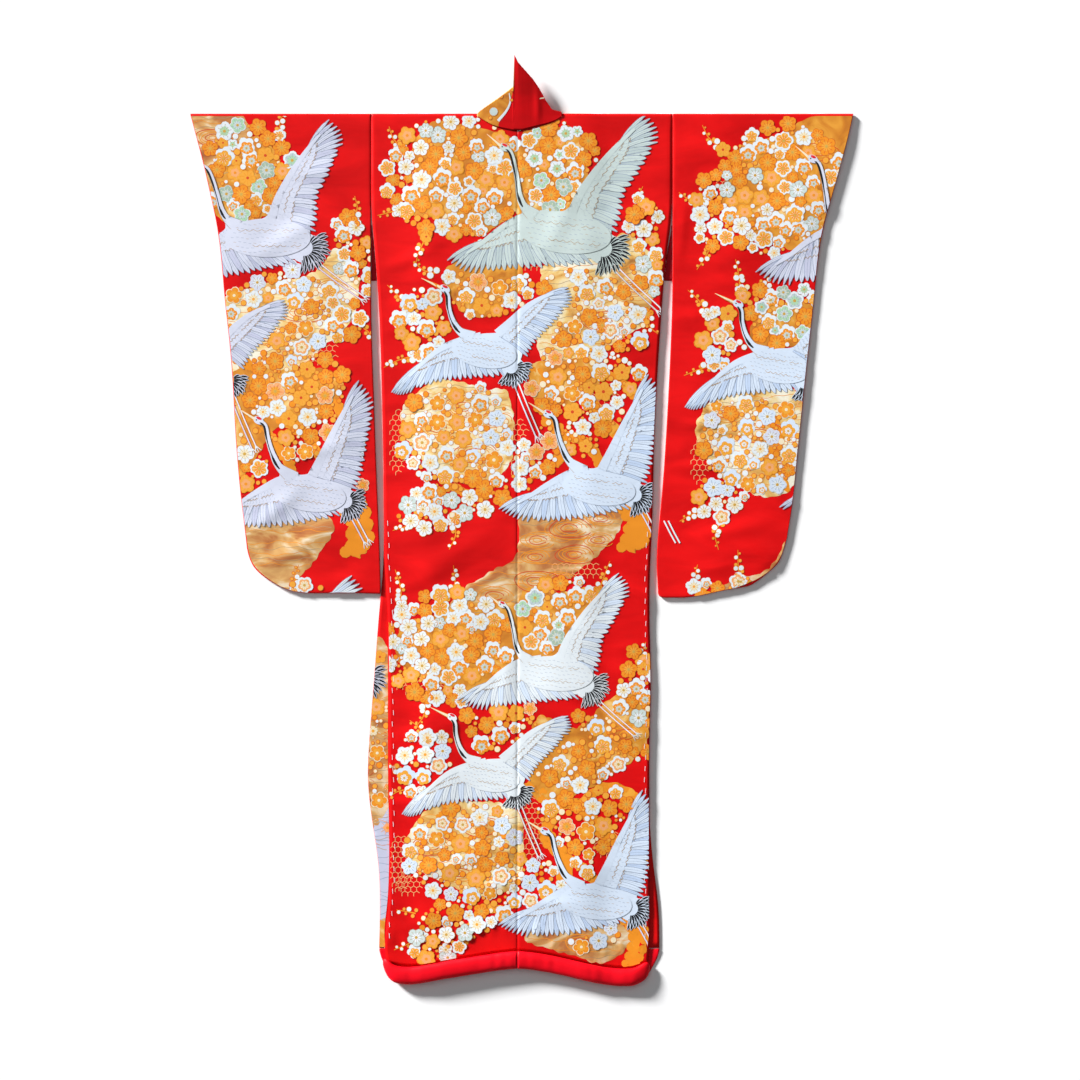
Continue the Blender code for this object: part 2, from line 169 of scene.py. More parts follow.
def softened(values, width):
    """Evens out a line of values over some neighbours, with its ends kept."""
    count = min(int(width * 2), len(values) - 1)
    before = 2 * values[0] - values[count:0:-1]
    after = 2 * values[-1] - values[-2:-count - 2:-1]
    padded = np.concatenate((before, values, after))
    steps = np.arange(-count, count + 1)
    weights = np.exp(-0.5 * (steps / width) ** 2)
    return np.convolve(padded, weights / weights.sum(), "valid")


def blurred(grid, width):
    """The grid evened out over some neighbours in both directions."""
    steps = range(-int(width * 3), int(width * 3) + 1)
    weights = np.array([math.exp(-0.5 * (k / width) ** 2) for k in steps])
    weights /= weights.sum()
    for axis in (0, 1):
        pad = [(0, 0), (0, 0)]
        pad[axis] = (len(weights) // 2, len(weights) // 2)
        wide = np.pad(grid, pad)
        size = grid.shape[axis]
        grid = sum(w * np.take(wide, range(k, k + size), axis) for k, w in enumerate(weights))
    return grid


class Height:
    """The upper side of some nodes, read by rays and smoothed, for any place in plan."""

    def __init__(self, solids, names):
        boxes = [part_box(name) for name in names]
        self.x0 = min(low.x for low, _ in boxes) - 4 * RASTER
        self.y0 = min(low.y for low, _ in boxes) - 4 * RASTER
        columns = int((max(high.x for _, high in boxes) - self.x0) / RASTER) + 5
        rows = int((max(high.y for _, high in boxes) - self.y0) / RASTER) + 5
        found = np.zeros((rows, columns))
        known = np.zeros((rows, columns))
        for r in range(rows):
            y = self.y0 + r * RASTER
            for c in range(columns):
                heights = [s.top(self.x0 + c * RASTER, y) for s in solids]
                heights = [z for z in heights if z is not None and z > UPPER]
                if heights:
                    found[r, c] = max(heights)
                    known[r, c] = 1.0
        width = SOFTEN / RASTER
        share = blurred(known, width)
        self.grid = blurred(found, width) / np.maximum(share, 1e-9)
        self.grid[share < 1e-3] = found[known > 0].mean()

    def __call__(self, points):
        rows, columns = self.grid.shape
        c = np.clip((points[:, 0] - self.x0) / RASTER, 0, columns - 1.001)
        r = np.clip((points[:, 1] - self.y0) / RASTER, 0, rows - 1.001)
        ci, ri = c.astype(int), r.astype(int)
        fc, fr = c - ci, r - ri
        g = self.grid
        low = g[ri, ci] * (1 - fc) + g[ri, ci + 1] * fc
        high = g[ri + 1, ci] * (1 - fc) + g[ri + 1, ci + 1] * fc
        return low * (1 - fr) + high * fr


# ---------------------------------------------------------------- creases

# Soft ridges (plus) and troughs (minus) in the upper cloth. "turn" is degrees
# from the garment's length, "width" and "length" are centimetres, "height" millimetres.
CREASES = table(
    "x down length width turn height bend",
    (-13, 90.5, 30, 1.7, 60, 2.4, 0.8), (-8, 94, 26, 1.3, 62, -1.3, 0.5),
    (-19, 96, 24, 1.2, 66, 1.5, 0.5), (-22, 30, 22, 1.1, 66, 1.9, 0.8),
    (-20, 38, 16, 0.9, 74, 1.3, -0.4), (-24, 45, 20, 1, 84, 1.5, 0.3),
    (-25, 60, 16, 0.8, 88, 1.1, 0.4), (-24, 74, 14, 0.8, 80, 1, -0.3),
    (24, 21, 16, 0.9, 86, 1.7, 0.5), (26, 47, 12, 0.8, 80, 1, 0.3), (22, 98, 24, 1.3, -62, 2, 0.7),
    (14, 92, 20, 1.1, -70, -1.1, 0.3), (24, 110, 14, 0.8, 86, 1.2, 0.3),
    (-22, 118, 20, 1.1, 82, 1.7, 0.6), (-18, 127, 26, 1.5, 76, 2, -0.8),
    (-23, 134, 18, 1, 84, 1.3, 0.5), (-21, 142, 20, 0.9, 88, 1.2, 0.4),
    (25, 128, 13, 0.8, 84, 1.2, 0.3), (24, 142, 12, 0.8, 90, 1.1, -0.2),
    (-14, 155, 24, 1.1, 72, 1.5, 0.6), (-4, 159, 20, 0.9, 80, 1.7, 0.4),
    (8, 163, 18, 1, 96, 1.5, 0.5), (-18, 166, 20, 1, 70, 1.6, 0.5),
    (-8, 168, 22, 1.2, 64, 1.8, 0.7), (16, 170, 14, 1.1, 104, 1.6, 0.3),
    (-1.5, 148, 26, 1.3, 10, 1.5, 0.6), (2.2, 60, 34, 1.2, -4, 1.6, 0.4),
    (-2.4, 118, 30, 1.2, 5, 1.3, 0.5), (9, 22, 26, 1.5, 24, 1.8, 0.8),
    (-12, 14, 24, 1.2, -34, 1.5, 0.6), (-40, 12, 20, 1.2, 84, 1.4, 0.5),
    (-48, 26, 24, 1.3, 60, 1.8, 0.8), (-36, 44, 18, 1, 78, 1.4, 0.4),
    (-38, 56, 16, 0.8, 86, 1.2, 0.3), (-42, 70, 22, 1.2, 70, 1.5, 0.6),
    (-46, 90, 24, 1.4, 58, 2.4, 0.9), (-38, 86, 20, 1.1, 80, 1.6, 0.5),
    (-50, 82, 22, 1.2, 50, 2, 0.6), (-35, 96, 12, 0.9, 88, 1, 0.2), (40, 14, 20, 1.2, 82, 1.5, 0.5),
    (46, 30, 22, 1.2, -58, 1.6, 0.7), (36, 42, 16, 0.9, 86, 1.2, 0.3),
    (38, 64, 15, 0.8, 80, 1.1, 0.4), (37, 73, 16, 0.9, 92, 1.2, 0.3),
    (44, 86, 26, 1.3, 78, 1.9, 0.7), (49, 91, 20, 1.4, -56, 2.4, 0.6),
    (40, 94, 16, 1, 84, 1.4, 0.4), (53, 78, 16, 1.1, -36, 1.5, 0.4), (34, 24, 20, 0.9, 6, 1.3, 0.3),
    (-33, 30, 24, 0.9, -5, 1.3, 0.3), (-26, 170, 5, 0.5, -14, 1.2, 0.1),
    (-23, 171, 6, 0.6, -6, 1.4, 0.2), (-20.4, 170, 5, 0.5, 8, 1.1, 0.1),
    (-17.6, 171, 6, 0.6, 14, 1.5, -0.2), (-14, 169.5, 5, 0.5, -4, 1.2, 0.1),
    (-11, 170, 7, 0.6, 10, 1.4, 0.2), (-8.2, 168.5, 5, 0.5, 16, 1.1, 0.1),
    (-5, 168, 6, 0.6, 6, 1.4, 0.1), (-2.4, 167.5, 5, 0.5, -8, 1, 0.1),
    (4, 168.5, 5, 0.5, -10, 1.1, 0.1), (7.4, 171, 5, 0.5, 6, 1, 0.1),
    (21.6, 172, 5, 0.5, -12, 1.2, 0.1), (25.5, 172, 5, 0.6, 10, 1.3, 0.2),
    (18, 173, 4, 0.5, 4, 1, 0.1),
)
CREASE_SPREAD, CREASE_HEIGHT = 1.25, 0.98   # all widths and heights are scaled by these
BROAD_WAVES, SMALL_WAVES = (0.42, 0.045), (0.22, 0.021)     # height in mm, size in metres
DEEPEST = -1.0                  # the lowest trough, in millimetres
# The dips at the seams, in millimetres deep: at the centre back, and at the two places across
# the garment where the sleeves are joined, down to the end of the join. Widths are centimetres.
DIP, CENTRE_WIDTH, JOIN_WIDTH, JOINS, JOIN_END = 0.9, 0.24, 0.22, (-30.2, 32.0), 19


def value_noise(points, size, seed):
    """Smooth bumps of about this size, from -1 to 1, the same on every run."""
    lattice = np.random.RandomState(seed).uniform(-1, 1, (256, 256))
    u, v = points[:, 0] / size, points[:, 1] / size
    ui, vi = np.floor(u).astype(int), np.floor(v).astype(int)
    fu, fv = smooth(u - ui), smooth(v - vi)
    a, b = lattice[ui % 256, vi % 256], lattice[(ui + 1) % 256, vi % 256]
    c, d = lattice[ui % 256, (vi + 1) % 256], lattice[(ui + 1) % 256, (vi + 1) % 256]
    return (a * (1 - fu) + b * fu) * (1 - fv) + (c * (1 - fu) + d * fu) * fv


def relief(points):
    """Height of the creases, in metres, at places in plan."""
    x, down = from_garment(points)
    lift = np.zeros(len(points))
    for crease in CREASES:
        turn = math.radians(crease.turn)
        dx, dy = x - crease.x, down - crease.down
        along = dy * math.cos(turn) - dx * math.sin(turn)
        across = dx * math.cos(turn) + dy * math.sin(turn)
        across = across + crease.bend * (2 * along / crease.length) ** 2
        width = crease.width * CREASE_SPREAD
        fade = np.where(
            np.abs(along) < crease.length / 2,
            np.cos(np.clip(math.pi * along / crease.length, -1.57, 1.57)) ** 2, 0.0,
        )
        lift += crease.height * fade * np.exp(-((across / width) ** 2))
    stretched = np.column_stack((points[:, 0] * 0.45, points[:, 1]))
    height, size = BROAD_WAVES
    lift = CREASE_HEIGHT * lift + height * value_noise(stretched, size, SEED + 1)
    height, size = SMALL_WAVES
    lift += height * value_noise(stretched + 3.0, size, SEED + 2)
    lift *= smooth((down - 0.8) / 3.0)
    return np.maximum(lift, DEEPEST) * MM


def seam_dip(points):
    """How far the cloth dips into its seams, in metres, at places in plan."""
    x, down = from_garment(points)
    dip = DIP * np.exp(-((x / CENTRE_WIDTH) ** 2)) * smooth((down - 4.0) / 2.0)
    join = np.minimum(np.abs(x - JOINS[0]), np.abs(x - JOINS[1]))
    at_join = DIP * np.exp(-((join / JOIN_WIDTH) ** 2))
    return (dip + np.where(down < JOIN_END, at_join, 0.0)) * MM


# ---------------------------------------------------------------- meshes

def put(name, data, place=(0, 0, 0)):
    """A new object with this data, in the scene."""
    item = bpy.data.objects.new(name, data)
    item.location = place
    bpy.context.scene.collection.objects.link(item)
    return item


def add_mesh(name, points, faces, materials, slots=None):
    """A smooth mesh in the scene, its faces' materials by number if there are several."""
    mesh = bpy.data.meshes.new(name)
    mesh.from_pydata([tuple(p) for p in points], [], faces)
    for material in materials:
        mesh.materials.append(material)
    if slots is not None:
        mesh.polygons.foreach_set("material_index", slots)
    mesh.update()
    mesh.shade_smooth()
    return put(name, mesh)


def wall(name, outer, inner, quads, rims, material):
    """A closed wall from one side's faces and from its rims, each as points and those after."""
    under = outer.shape[0] * outer.shape[1]
    sides = [np.stack((after, rim, rim + under, after + under), -1) for rim, after in rims]
    faces = np.concatenate((quads, quads[:, ::-1] + under, *sides)).tolist()
    points = np.concatenate((outer.reshape(-1, 3), inner.reshape(-1, 3)))
    return face_out(add_mesh(name, points, faces, [material]))


def sheet_wall(name, outer, inner, material):
    """A closed wall between two grids of points, the outside and the inside of a cloth."""
    rows, columns = outer.shape[:2]
    index = np.arange(rows * columns).reshape(rows, columns)
    quads = np.stack((index[:-1, :-1], index[:-1, 1:], index[1:, 1:], index[1:, :-1]), -1)
    rim = np.concatenate((index[0, :], index[1:, -1], index[-1, -2::-1], index[-2:0:-1, 0]))
    return wall(name, outer, inner, quads.reshape(-1, 4), [(rim, np.roll(rim, -1))], material)


def ring_faces(stations, count):
    """The numbers of the points on closed rings, of those after them, and the faces between."""
    index = np.arange(stations * count).reshape(stations, count)
    after = np.roll(index, -1, 1)
    quads = np.stack((index[:-1], after[:-1], after[1:], index[1:]), -1).reshape(-1, 4)
    return index, after, quads


def tube_wall(name, outer, inner, material):
    """A closed wall between two sets of closed rings, open at the tube's two ends."""
    index, after, quads = ring_faces(*outer.shape[:2])
    rims = [(index[0], after[0]), (after[-1], index[-1])]
    return wall(name, outer, inner, quads, rims, material)


def loft(name, sections, material):
    """A closed body through sections of the same number of points."""
    index, _, quads = ring_faces(*sections.shape[:2])
    faces = quads.tolist() + [index[0, ::-1].tolist(), index[-1].tolist()]
    return face_out(add_mesh(name, sections.reshape(-1, 3), faces, [material]))


def face_out(item):
    """Turns a closed body's faces over if they point in."""
    mesh = item.data
    mesh.calc_loop_triangles()
    corners = np.array([v.co for v in mesh.vertices])
    triangles = np.array([t.vertices for t in mesh.loop_triangles])
    a, b, c = (corners[triangles[:, k]] for k in range(3))
    if np.einsum("ij,ij->i", a, np.cross(b, c)).sum() < 0:
        mesh.flip_normals()
    return item


def weave_front(item, outer_faces=None):
    """Gives a cloth's faces that look down the fronts' brocade, on its outside only."""
    item.data.materials.append(MATERIALS["front"])
    for face in item.data.polygons:
        if face.normal.z < -0.5 and (outer_faces is None or face.index < outer_faces):
            face.material_index = 1


def spread(start, end, step):
    """Evenly spaced places no more than a step apart, both ends in."""
    return np.linspace(start, end, max(2, int(abs(end - start) / step) + 2))


# ---------------------------------------------------------------- materials

def fill(tree, target, inputs):
    """Sets a node's sockets by name or number, to values or linked to other nodes' sockets."""
    for key, value in inputs.items():
        if isinstance(value, bpy.types.NodeSocket):
            tree.links.new(value, target.inputs[key])
        else:
            target.inputs[key].default_value = value


def add_node(tree, kind, inputs, **settings):
    """A new shader node with its settings and its inputs."""
    made = tree.nodes.new("ShaderNode" + kind)
    for key, value in settings.items():
        setattr(made, key, value)
    fill(tree, made, inputs)
    return made


def new_material(name, colour, roughness, metallic=0.0, specular=0.5):
    """A plain material, with its node tree and its shader to build on."""
    material = bpy.data.materials.new(name)
    material.use_nodes = True
    tree = material.node_tree
    shader = tree.nodes["Principled BSDF"]
    fill(tree, shader, {
        "Base Color": (*colour, 1.0), "Roughness": roughness, "Metallic": metallic,
        "Specular IOR Level": specular,
    })
    return material, tree, shader


def object_place(tree, scale=(1, 1, 1)):
    """Texture coordinates in the object's own space, stretched by a scale for each axis."""
    place = add_node(tree, "TexCoord", {}).outputs["Object"]
    return add_node(tree, "Mapping", {"Vector": place, "Scale": scale}).outputs["Vector"]


def noise(tree, vector, scale, detail, distortion=0.0):
    return add_node(tree, "TexNoise", {
        "Vector": vector, "Scale": scale, "Detail": detail, "Distortion": distortion,
    }).outputs["Fac"]


def ramp(tree, fac, stops, interpolation="LINEAR"):
    made = add_node(tree, "ValToRGB", {"Fac": fac})
    made.color_ramp.interpolation = interpolation
    elements = made.color_ramp.elements
    while len(elements) < len(stops):
        elements.new(0.5)
    for element, (place, colour) in zip(elements, stops):
        element.position = place
        element.color = (*colour, 1.0)
    return made.outputs["Color"]


def math_node(tree, operation, *values):
    inputs = dict(enumerate(values))
    return add_node(tree, "Math", inputs, operation=operation).outputs["Value"]


def mixed(tree, share, first, second):
    """One colour where the share is 0 and the other where it is 1."""
    ends = [(*end, 1.0) if isinstance(end, tuple) else end for end in (first, second)]
    inputs = {0: share, 6: ends[0], 7: ends[1]}
    return add_node(tree, "Mix", inputs, data_type="RGBA").outputs[2]


def weave(tree, shader, threads, depth):
    """A fine twill of raised threads in the bump. It returns the place on the object."""
    vector = object_place(tree)
    twill = add_node(tree, "TexWave", {
        "Vector": vector, "Scale": threads, "Distortion": 0.6, "Detail": 1.0,
    }, bands_direction="DIAGONAL")
    cross = add_node(tree, "TexWave", {
        "Vector": vector, "Scale": threads * 0.63, "Distortion": 0.8,
    }, bands_direction="Y")
    both = math_node(tree, "ADD", twill.outputs["Fac"], cross.outputs["Fac"])
    bump = add_node(tree, "Bump", {"Strength": 0.55, "Distance": depth, "Height": both})
    fill(tree, shader, {"Normal": bump.outputs["Normal"]})
    return vector


def uneven_gloss(tree, shader, vector, scale, detail, least, most):
    """Roughness that wanders between two values."""
    fac = noise(tree, vector, scale, detail)
    wander = add_node(tree, "MapRange", {"Value": fac, "To Min": least, "To Max": most})
    fill(tree, shader, {"Roughness": wander.outputs["Result"]})


# The shine of each kind of cloth, and the scale of its threads with their depth in metres.
SATIN_SHINE, SATIN_WEAVE = 0.14, (520, 0.00008)
FOIL_WEAVE = (430, 0.0001)
THREAD_SHINE, THREAD_WEAVE = 0.30, (700, 0.00012)
RED_DEEP, RED_BRIGHT = (0.56, 0.002, 0.003), (0.80, 0.005, 0.006)
MASS_SCALE = 3.4                # noise scale of the masses of brocade on the fronts


def satin(name, deep, bright, roughness=0.36):
    """Plain silk satin: a little uneven in tone and gloss, with a fine weave."""
    material, tree, shader = new_material(name, bright, roughness, specular=SATIN_SHINE)
    vector = weave(tree, shader, *SATIN_WEAVE)
    fac = noise(tree, object_place(tree, (1.0, 2.6, 1.0)), 7, 4.0, 0.6)
    fill(tree, shader, {"Base Color": ramp(tree, fac, ((0.3, deep), (0.7, bright)))})
    uneven_gloss(tree, shader, vector, 38, 3.0, roughness - 0.07, roughness + 0.1)
    return material


def foil(name, stops, roughness, metallic, streak, scale):
    """Woven gold-leaf paper threads: cloudy tones of gold through the given stops, with uneven
    gloss. Near-white stops among them are painted highlights, and the gold foil's darkest brown is
    painted shade.
    """
    material, tree, shader = new_material(name, stops[1][1], roughness, metallic)
    vector = weave(tree, shader, *FOIL_WEAVE)
    fac = noise(tree, object_place(tree, streak), scale, 5.0, 1.2)
    fill(tree, shader, {"Base Color": ramp(tree, fac, stops)})
    uneven_gloss(tree, shader, vector, 60, 2.0, roughness - 0.1, roughness + 0.16)
    return material


def thread(name, colour, roughness, metallic=0.0):
    """Silk or gold threads of one colour, floating over the ground in fine ribs."""
    material, tree, shader = new_material(name, colour, roughness, metallic, THREAD_SHINE)
    weave(tree, shader, *THREAD_WEAVE)
    return material


def scattered(tree, vector, colour, cell, size, lobes, mass, faces, rim):
    """Blossoms or buds laid one to a cell over a colour, where the masses are."""
    place = add_node(tree, "TexVoronoi", {
        "Vector": vector, "Scale": 1 / cell, "Randomness": 0.75,
    }, voronoi_dimensions="2D").outputs
    offset = add_node(tree, "VectorMath", {0: vector, 1: place["Position"]}, operation="SUBTRACT")
    parts = add_node(tree, "SeparateXYZ", {"Vector": offset.outputs["Vector"]}).outputs
    chance = add_node(tree, "SeparateColor", {"Color": place["Color"]}).outputs

    def value(operation, *values):
        return math_node(tree, operation, *values)

    angle = value("ARCTAN2", parts["Y"], parts["X"])
    turned = value("MULTIPLY_ADD", chance["Red"], 6.28, value("MULTIPLY", angle, lobes / 2))
    lobe = value("ABSOLUTE", value("COSINE", turned))
    petal = value("MULTIPLY_ADD", lobe, 0.22 * size, 0.78 * size)
    full = value("MULTIPLY", petal, value("MULTIPLY_ADD", chance["Green"], 0.3, 0.7))
    share = value("DIVIDE", place["Distance"], full)
    at_centre = noise(tree, place["Position"], MASS_SCALE, 1.0)
    there = value("MULTIPLY", value("LESS_THAN", share, 1.0),
                  value("GREATER_THAN", at_centre, mass))
    steps = [(k / len(faces), face) for k, face in enumerate(faces)]
    face = ramp(tree, chance["Blue"], steps, "CONSTANT")
    edged = mixed(tree, value("GREATER_THAN", share, 0.80), face, rim)
    eyed = mixed(tree, value("LESS_THAN", share, 0.16), edged, (0.80, 0.42, 0.05))
    return mixed(tree, there, colour, eyed)


def front_brocade():
    """The fronts' unseen brocade: red satin with masses of plum blossom over ochre and gold."""
    name = "red_front_brocade"
    material, tree, shader = new_material(name, RED_BRIGHT, 0.36, specular=SATIN_SHINE)
    vector = weave(tree, shader, *SATIN_WEAVE)
    red = ramp(tree, noise(tree, vector, 7, 4.0), ((0.3, RED_DEEP), (0.7, RED_BRIGHT)))
    golds = ((0.35, (0.62, 0.22, 0.016)), (0.62, (0.92, 0.60, 0.22)))
    gold = ramp(tree, noise(tree, vector, 16.0, 4.0), golds)
    mass = math_node(tree, "GREATER_THAN", noise(tree, vector, MASS_SCALE, 1.0), 0.53)
    colour = mixed(tree, mass, red, gold)
    white, cream, orange, amber = (
        THREADS[key][1] for key in ("white", "cream", "orange", "amber")
    )
    ice = (0.60, 0.70, 0.88)
    for cell, size, lobes, limit, faces, rim in (
        (0.017, 0.34, 0, 0.46, (white, amber, orange, cream), amber),
        (0.036, 0.52, 5, 0.48, (orange, amber, orange, amber, orange), amber),
        (0.058, 0.42, 5, 0.47, (white, orange, ice, white, amber), white),
    ):
        colour = scattered(tree, vector, colour, cell, size, lobes, limit, faces, rim)
    fill(tree, shader, {"Base Color": colour})
    return material


# Threads of one colour: the material's name, colour and roughness, and how metallic it is.
THREADS = {
    "orange": ("orange_silk", (0.84, 0.28, 0.014), 0.45),
    "amber": ("amber_silk", (0.86, 0.38, 0.04), 0.42),
    "peach": ("peach_silk", (0.88, 0.40, 0.16), 0.5),
    "gold": ("gold_thread", (0.80, 0.48, 0.10), 0.34, 0.4),
    "tan": ("tan_line", (0.46, 0.30, 0.16), 0.5),
    "slate": ("slate_line", (0.30, 0.37, 0.50), 0.5),
    "white": ("white_silk", (0.76, 0.82, 0.86), 0.46),
    "cream": ("cream_silk", (0.86, 0.76, 0.54), 0.46),
    "ice": ("ice_blue_silk", (0.54, 0.66, 0.86), 0.44),
    "ice_light": ("pale_ice_silk", (0.66, 0.76, 0.90), 0.44),
    "pearl": ("pearl_silk", (0.50, 0.60, 0.60), 0.42),
    "pearl_light": ("light_pearl_silk", (0.58, 0.68, 0.66), 0.42),
    "lilac": ("lilac_silk", (0.56, 0.58, 0.74), 0.44),
    "lilac_light": ("pale_lilac_silk", (0.66, 0.69, 0.82), 0.44),
    "green": ("pale_green_silk", (0.42, 0.66, 0.42), 0.46),
    "sage": ("sage_silk", (0.36, 0.48, 0.38), 0.46),
    "black": ("black_silk", (0.010, 0.011, 0.014), 0.42),
    "crown": ("crown_red_silk", (0.72, 0.02, 0.03), 0.5),
    "red_line": ("red_line", (0.66, 0.06, 0.012), 0.5),
}
MATERIALS = {
    "satin": satin("red_satin", RED_DEEP, RED_BRIGHT),
    "front": front_brocade(),
    "roll": satin("red_hem_satin", (0.72, 0.001, 0.008), (0.84, 0.003, 0.014), 0.42),
    # The lining in the armhole slits is red cloth, darkened well below the satin's red as painted
    # shade of the slits.
    "lining": satin("red_lining_painted_shade", (0.34, 0.0, 0.008), (0.46, 0.004, 0.016), 0.55),
    "collar_face": satin("red_collar_silk", (0.50, 0.0, 0.002), (0.66, 0.0, 0.003), 0.48),
    # Cloudy gold tones, whose near-white top stop is a painted highlight and whose dark brown
    # bottom stop is painted shade.
    "foil": foil("gold_foil_painted_highlights_and_shade", (
        (0.26, (0.46, 0.19, 0.04)), (0.38, (0.80, 0.42, 0.10)), (0.49, (0.96, 0.70, 0.28)),
        (0.60, (1.0, 0.95, 0.76)),
    ), 0.30, 0.25, (1.5, 1.9, 1.0), 10.0),
    "ochre": foil("ochre_ground", (
        (0.25, (0.44, 0.12, 0.01)), (0.43, (0.66, 0.23, 0.016)), (0.58, (0.80, 0.35, 0.035)),
        (0.72, (0.94, 0.66, 0.26)),
    ), 0.40, 0.15, (1, 1, 1), 18.0),
    # Cloudy brown-gold tones, whose near-white top stop is a painted highlight.
    "brown": foil("brown_gold_ground_painted_highlights", (
        (0.25, (0.36, 0.09, 0.04)), (0.42, (0.58, 0.21, 0.06)), (0.55, (0.80, 0.46, 0.16)),
        (0.68, (0.98, 0.84, 0.62)),
    ), 0.34, 0.3, (1.2, 2.4, 1.0), 10.0),
    **{key: thread(*row) for key, row in THREADS.items()},
}
MATERIAL_ORDER = list(MATERIALS)


# ---------------------------------------------------------------- cloth pieces

SOLIDS = {name: Solid(name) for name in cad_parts}


def body_outline(side):
    """The back's and the front's edges of one body piece, read off its solid."""
    node = "body_" + WORDS[side]
    solid, (low, high) = SOLIDS[node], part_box(node)
    beyond = low.x - PAST if side < 0 else high.x + PAST
    inside, foot = SEAM_X + side * 0.15, low.y - PAST
    back_low = edge_y(solid.has_top, BODY_Y, foot, [inside])[0]
    front_low = edge_y(solid.has_under, BODY_Y, foot, [inside])[0]
    back_ys = spread(FOLD_START, low.y + 0.001, 12 * MM)
    back_ys = back_ys[back_ys > back_low]
    ys = spread(FOLD_START, front_low + 0.0005, 12 * MM)
    neck_ys = spread(FOLD_START, SHOULDER_Y - 0.037, 1.5 * MM)
    hem_xs = spread(inside + side * 0.11, SEAM_X + side * 0.001, 12 * MM)
    return {
        "solid": solid, "ys": ys, "back_ys": back_ys, "neck_ys": neck_ys, "hem_xs": hem_xs,
        "back_outer": softened(edge_x(solid.has_top, inside, beyond, back_ys), 3),
        "front_outer": softened(edge_x(solid.has_under, inside, beyond, ys), 3),
        "front_inner": edge_x(solid.has_under, inside, SEAM_X - side * 0.05, ys),
        "neck": softened(edge_x(solid.has_top, inside, SEAM_X, neck_ys), 1.5),
        "hem": softened(edge_y(solid.has_top, BODY_Y, foot, hem_xs), 1.5),
        "low": front_low,
    }


def at(places, values, place):
    """Linear reading of a line of values whose places may run either way."""
    order = np.argsort(places)
    return np.interp(place, np.asarray(places)[order], np.asarray(values)[order])


OUTLINES = {-1: body_outline(-1), 1: body_outline(1)}
HEIGHTS = {
    "back": Height([SOLIDS["body_left"], SOLIDS["body_right"]], ["body_left", "body_right"]),
    "sleeve_left": Height([SOLIDS["sleeve_left"]], ["sleeve_left"]),
    "sleeve_right": Height([SOLIDS["sleeve_right"]], ["sleeve_right"]),
}


def body_columns(outer, inner):
    """Places across a panel from its outer edge to its inner one, closer at the seam."""
    return outer + (inner - outer) * np.concatenate(
        (np.linspace(0, 0.95, 44), (0.968, 0.982, 0.992, 1.0))
    )


def hem_y(side, x):
    line = OUTLINES[side]
    return at(line["hem_xs"], line["hem"], x)


def under_line(solid, xs, y):
    """The heights of a solid's underside along a row, and 0 where there is none."""
    return np.array([solid.under(x, y) or 0.0 for x in xs])


def lowered(rows, drop):
    """The same rows of points further down, or further up if the drop is minus."""
    return [row - (0, 0, drop) for row in rows]


def back_rows(side):
    """The upper side of one back, from its hem up to where it turns over the shoulder."""
    line = OUTLINES[side]
    seam = SEAM_X + side * 0.15 * MM
    straight = SHOULDER_Y - 1.45        # below this the rows lean into the hem's slant
    nominal = max(line["hem"])
    below_neck = spread(SHOULDER_Y - 0.0385, nominal, GRID)
    rows = []
    for y in np.concatenate((line["neck_ys"], below_neck))[::-1]:
        inner = at(line["neck_ys"], line["neck"], y) if y > SHOULDER_Y - 0.0375 else seam
        xs = body_columns(at(line["back_ys"], line["back_outer"], y), inner)
        lean = smooth((straight - y) / (straight - nominal))
        points = np.column_stack((xs, y + (hem_y(side, xs) - nominal) * lean))
        z = HEIGHTS["back"](points) + relief(points) - seam_dip(points)
        rows.append(np.column_stack((points, z)))
    return rows


def shoulder_fold(top_row, front):
    """The outside and the inside round the shoulder, from the back's last row to the front."""
    xs, top = top_row[:, 0], top_row[:, 2]
    outside, inside = [], []
    for degrees in range(15, 180, 15):
        c, s = cos_sin(degrees)
        for rows, thick in ((outside, 0.0), (inside, SHELL)):
            high, floor = top - thick, front + thick
            middle, radius = (high + floor) / 2, (high - floor) / 2
            bulge = (SHOULDER_Y - FOLD_START) * (1 - thick / ((top - front) / 2))
            rows.append(np.column_stack((xs, FOLD_START + bulge * s, middle + radius * c)))
    return outside, inside


def front_rows(side, shoulder_x):
    """The underside of one front, from the shoulder down to its foot."""
    line = OUTLINES[side]
    rows = []
    for y in spread(FOLD_START, line["low"] + 0.0005, 14 * MM):
        inner = shoulder_x if y == FOLD_START else at(line["ys"], line["front_inner"], y)
        xs = body_columns(at(line["ys"], line["front_outer"], y), inner)
        z = under_line(line["solid"], xs, y)
        rows.append(np.column_stack((xs, np.full(len(xs), y), z)))
    return rows


def body_piece(side):
    """One body length as a folded wall: its back, the shoulder fold and its front."""
    back = back_rows(side)
    xs = back[-1][:, 0]
    front_top = under_line(OUTLINES[side]["solid"], xs, FOLD_START - 0.004)
    outside, inside = shoulder_fold(back[-1], front_top)
    front = front_rows(side, xs[-1])
    upper = np.array([*back, *outside, *front])
    lower = np.array([*lowered(back, SHELL), *inside, *lowered(front, -SHELL)])
    item = sheet_wall("cloth_body_" + WORDS[side], upper, lower, MATERIALS["satin"])
    weave_front(item, (len(upper) - 1) * (len(upper[0]) - 1))
    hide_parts("body_" + WORDS[side])
    return item


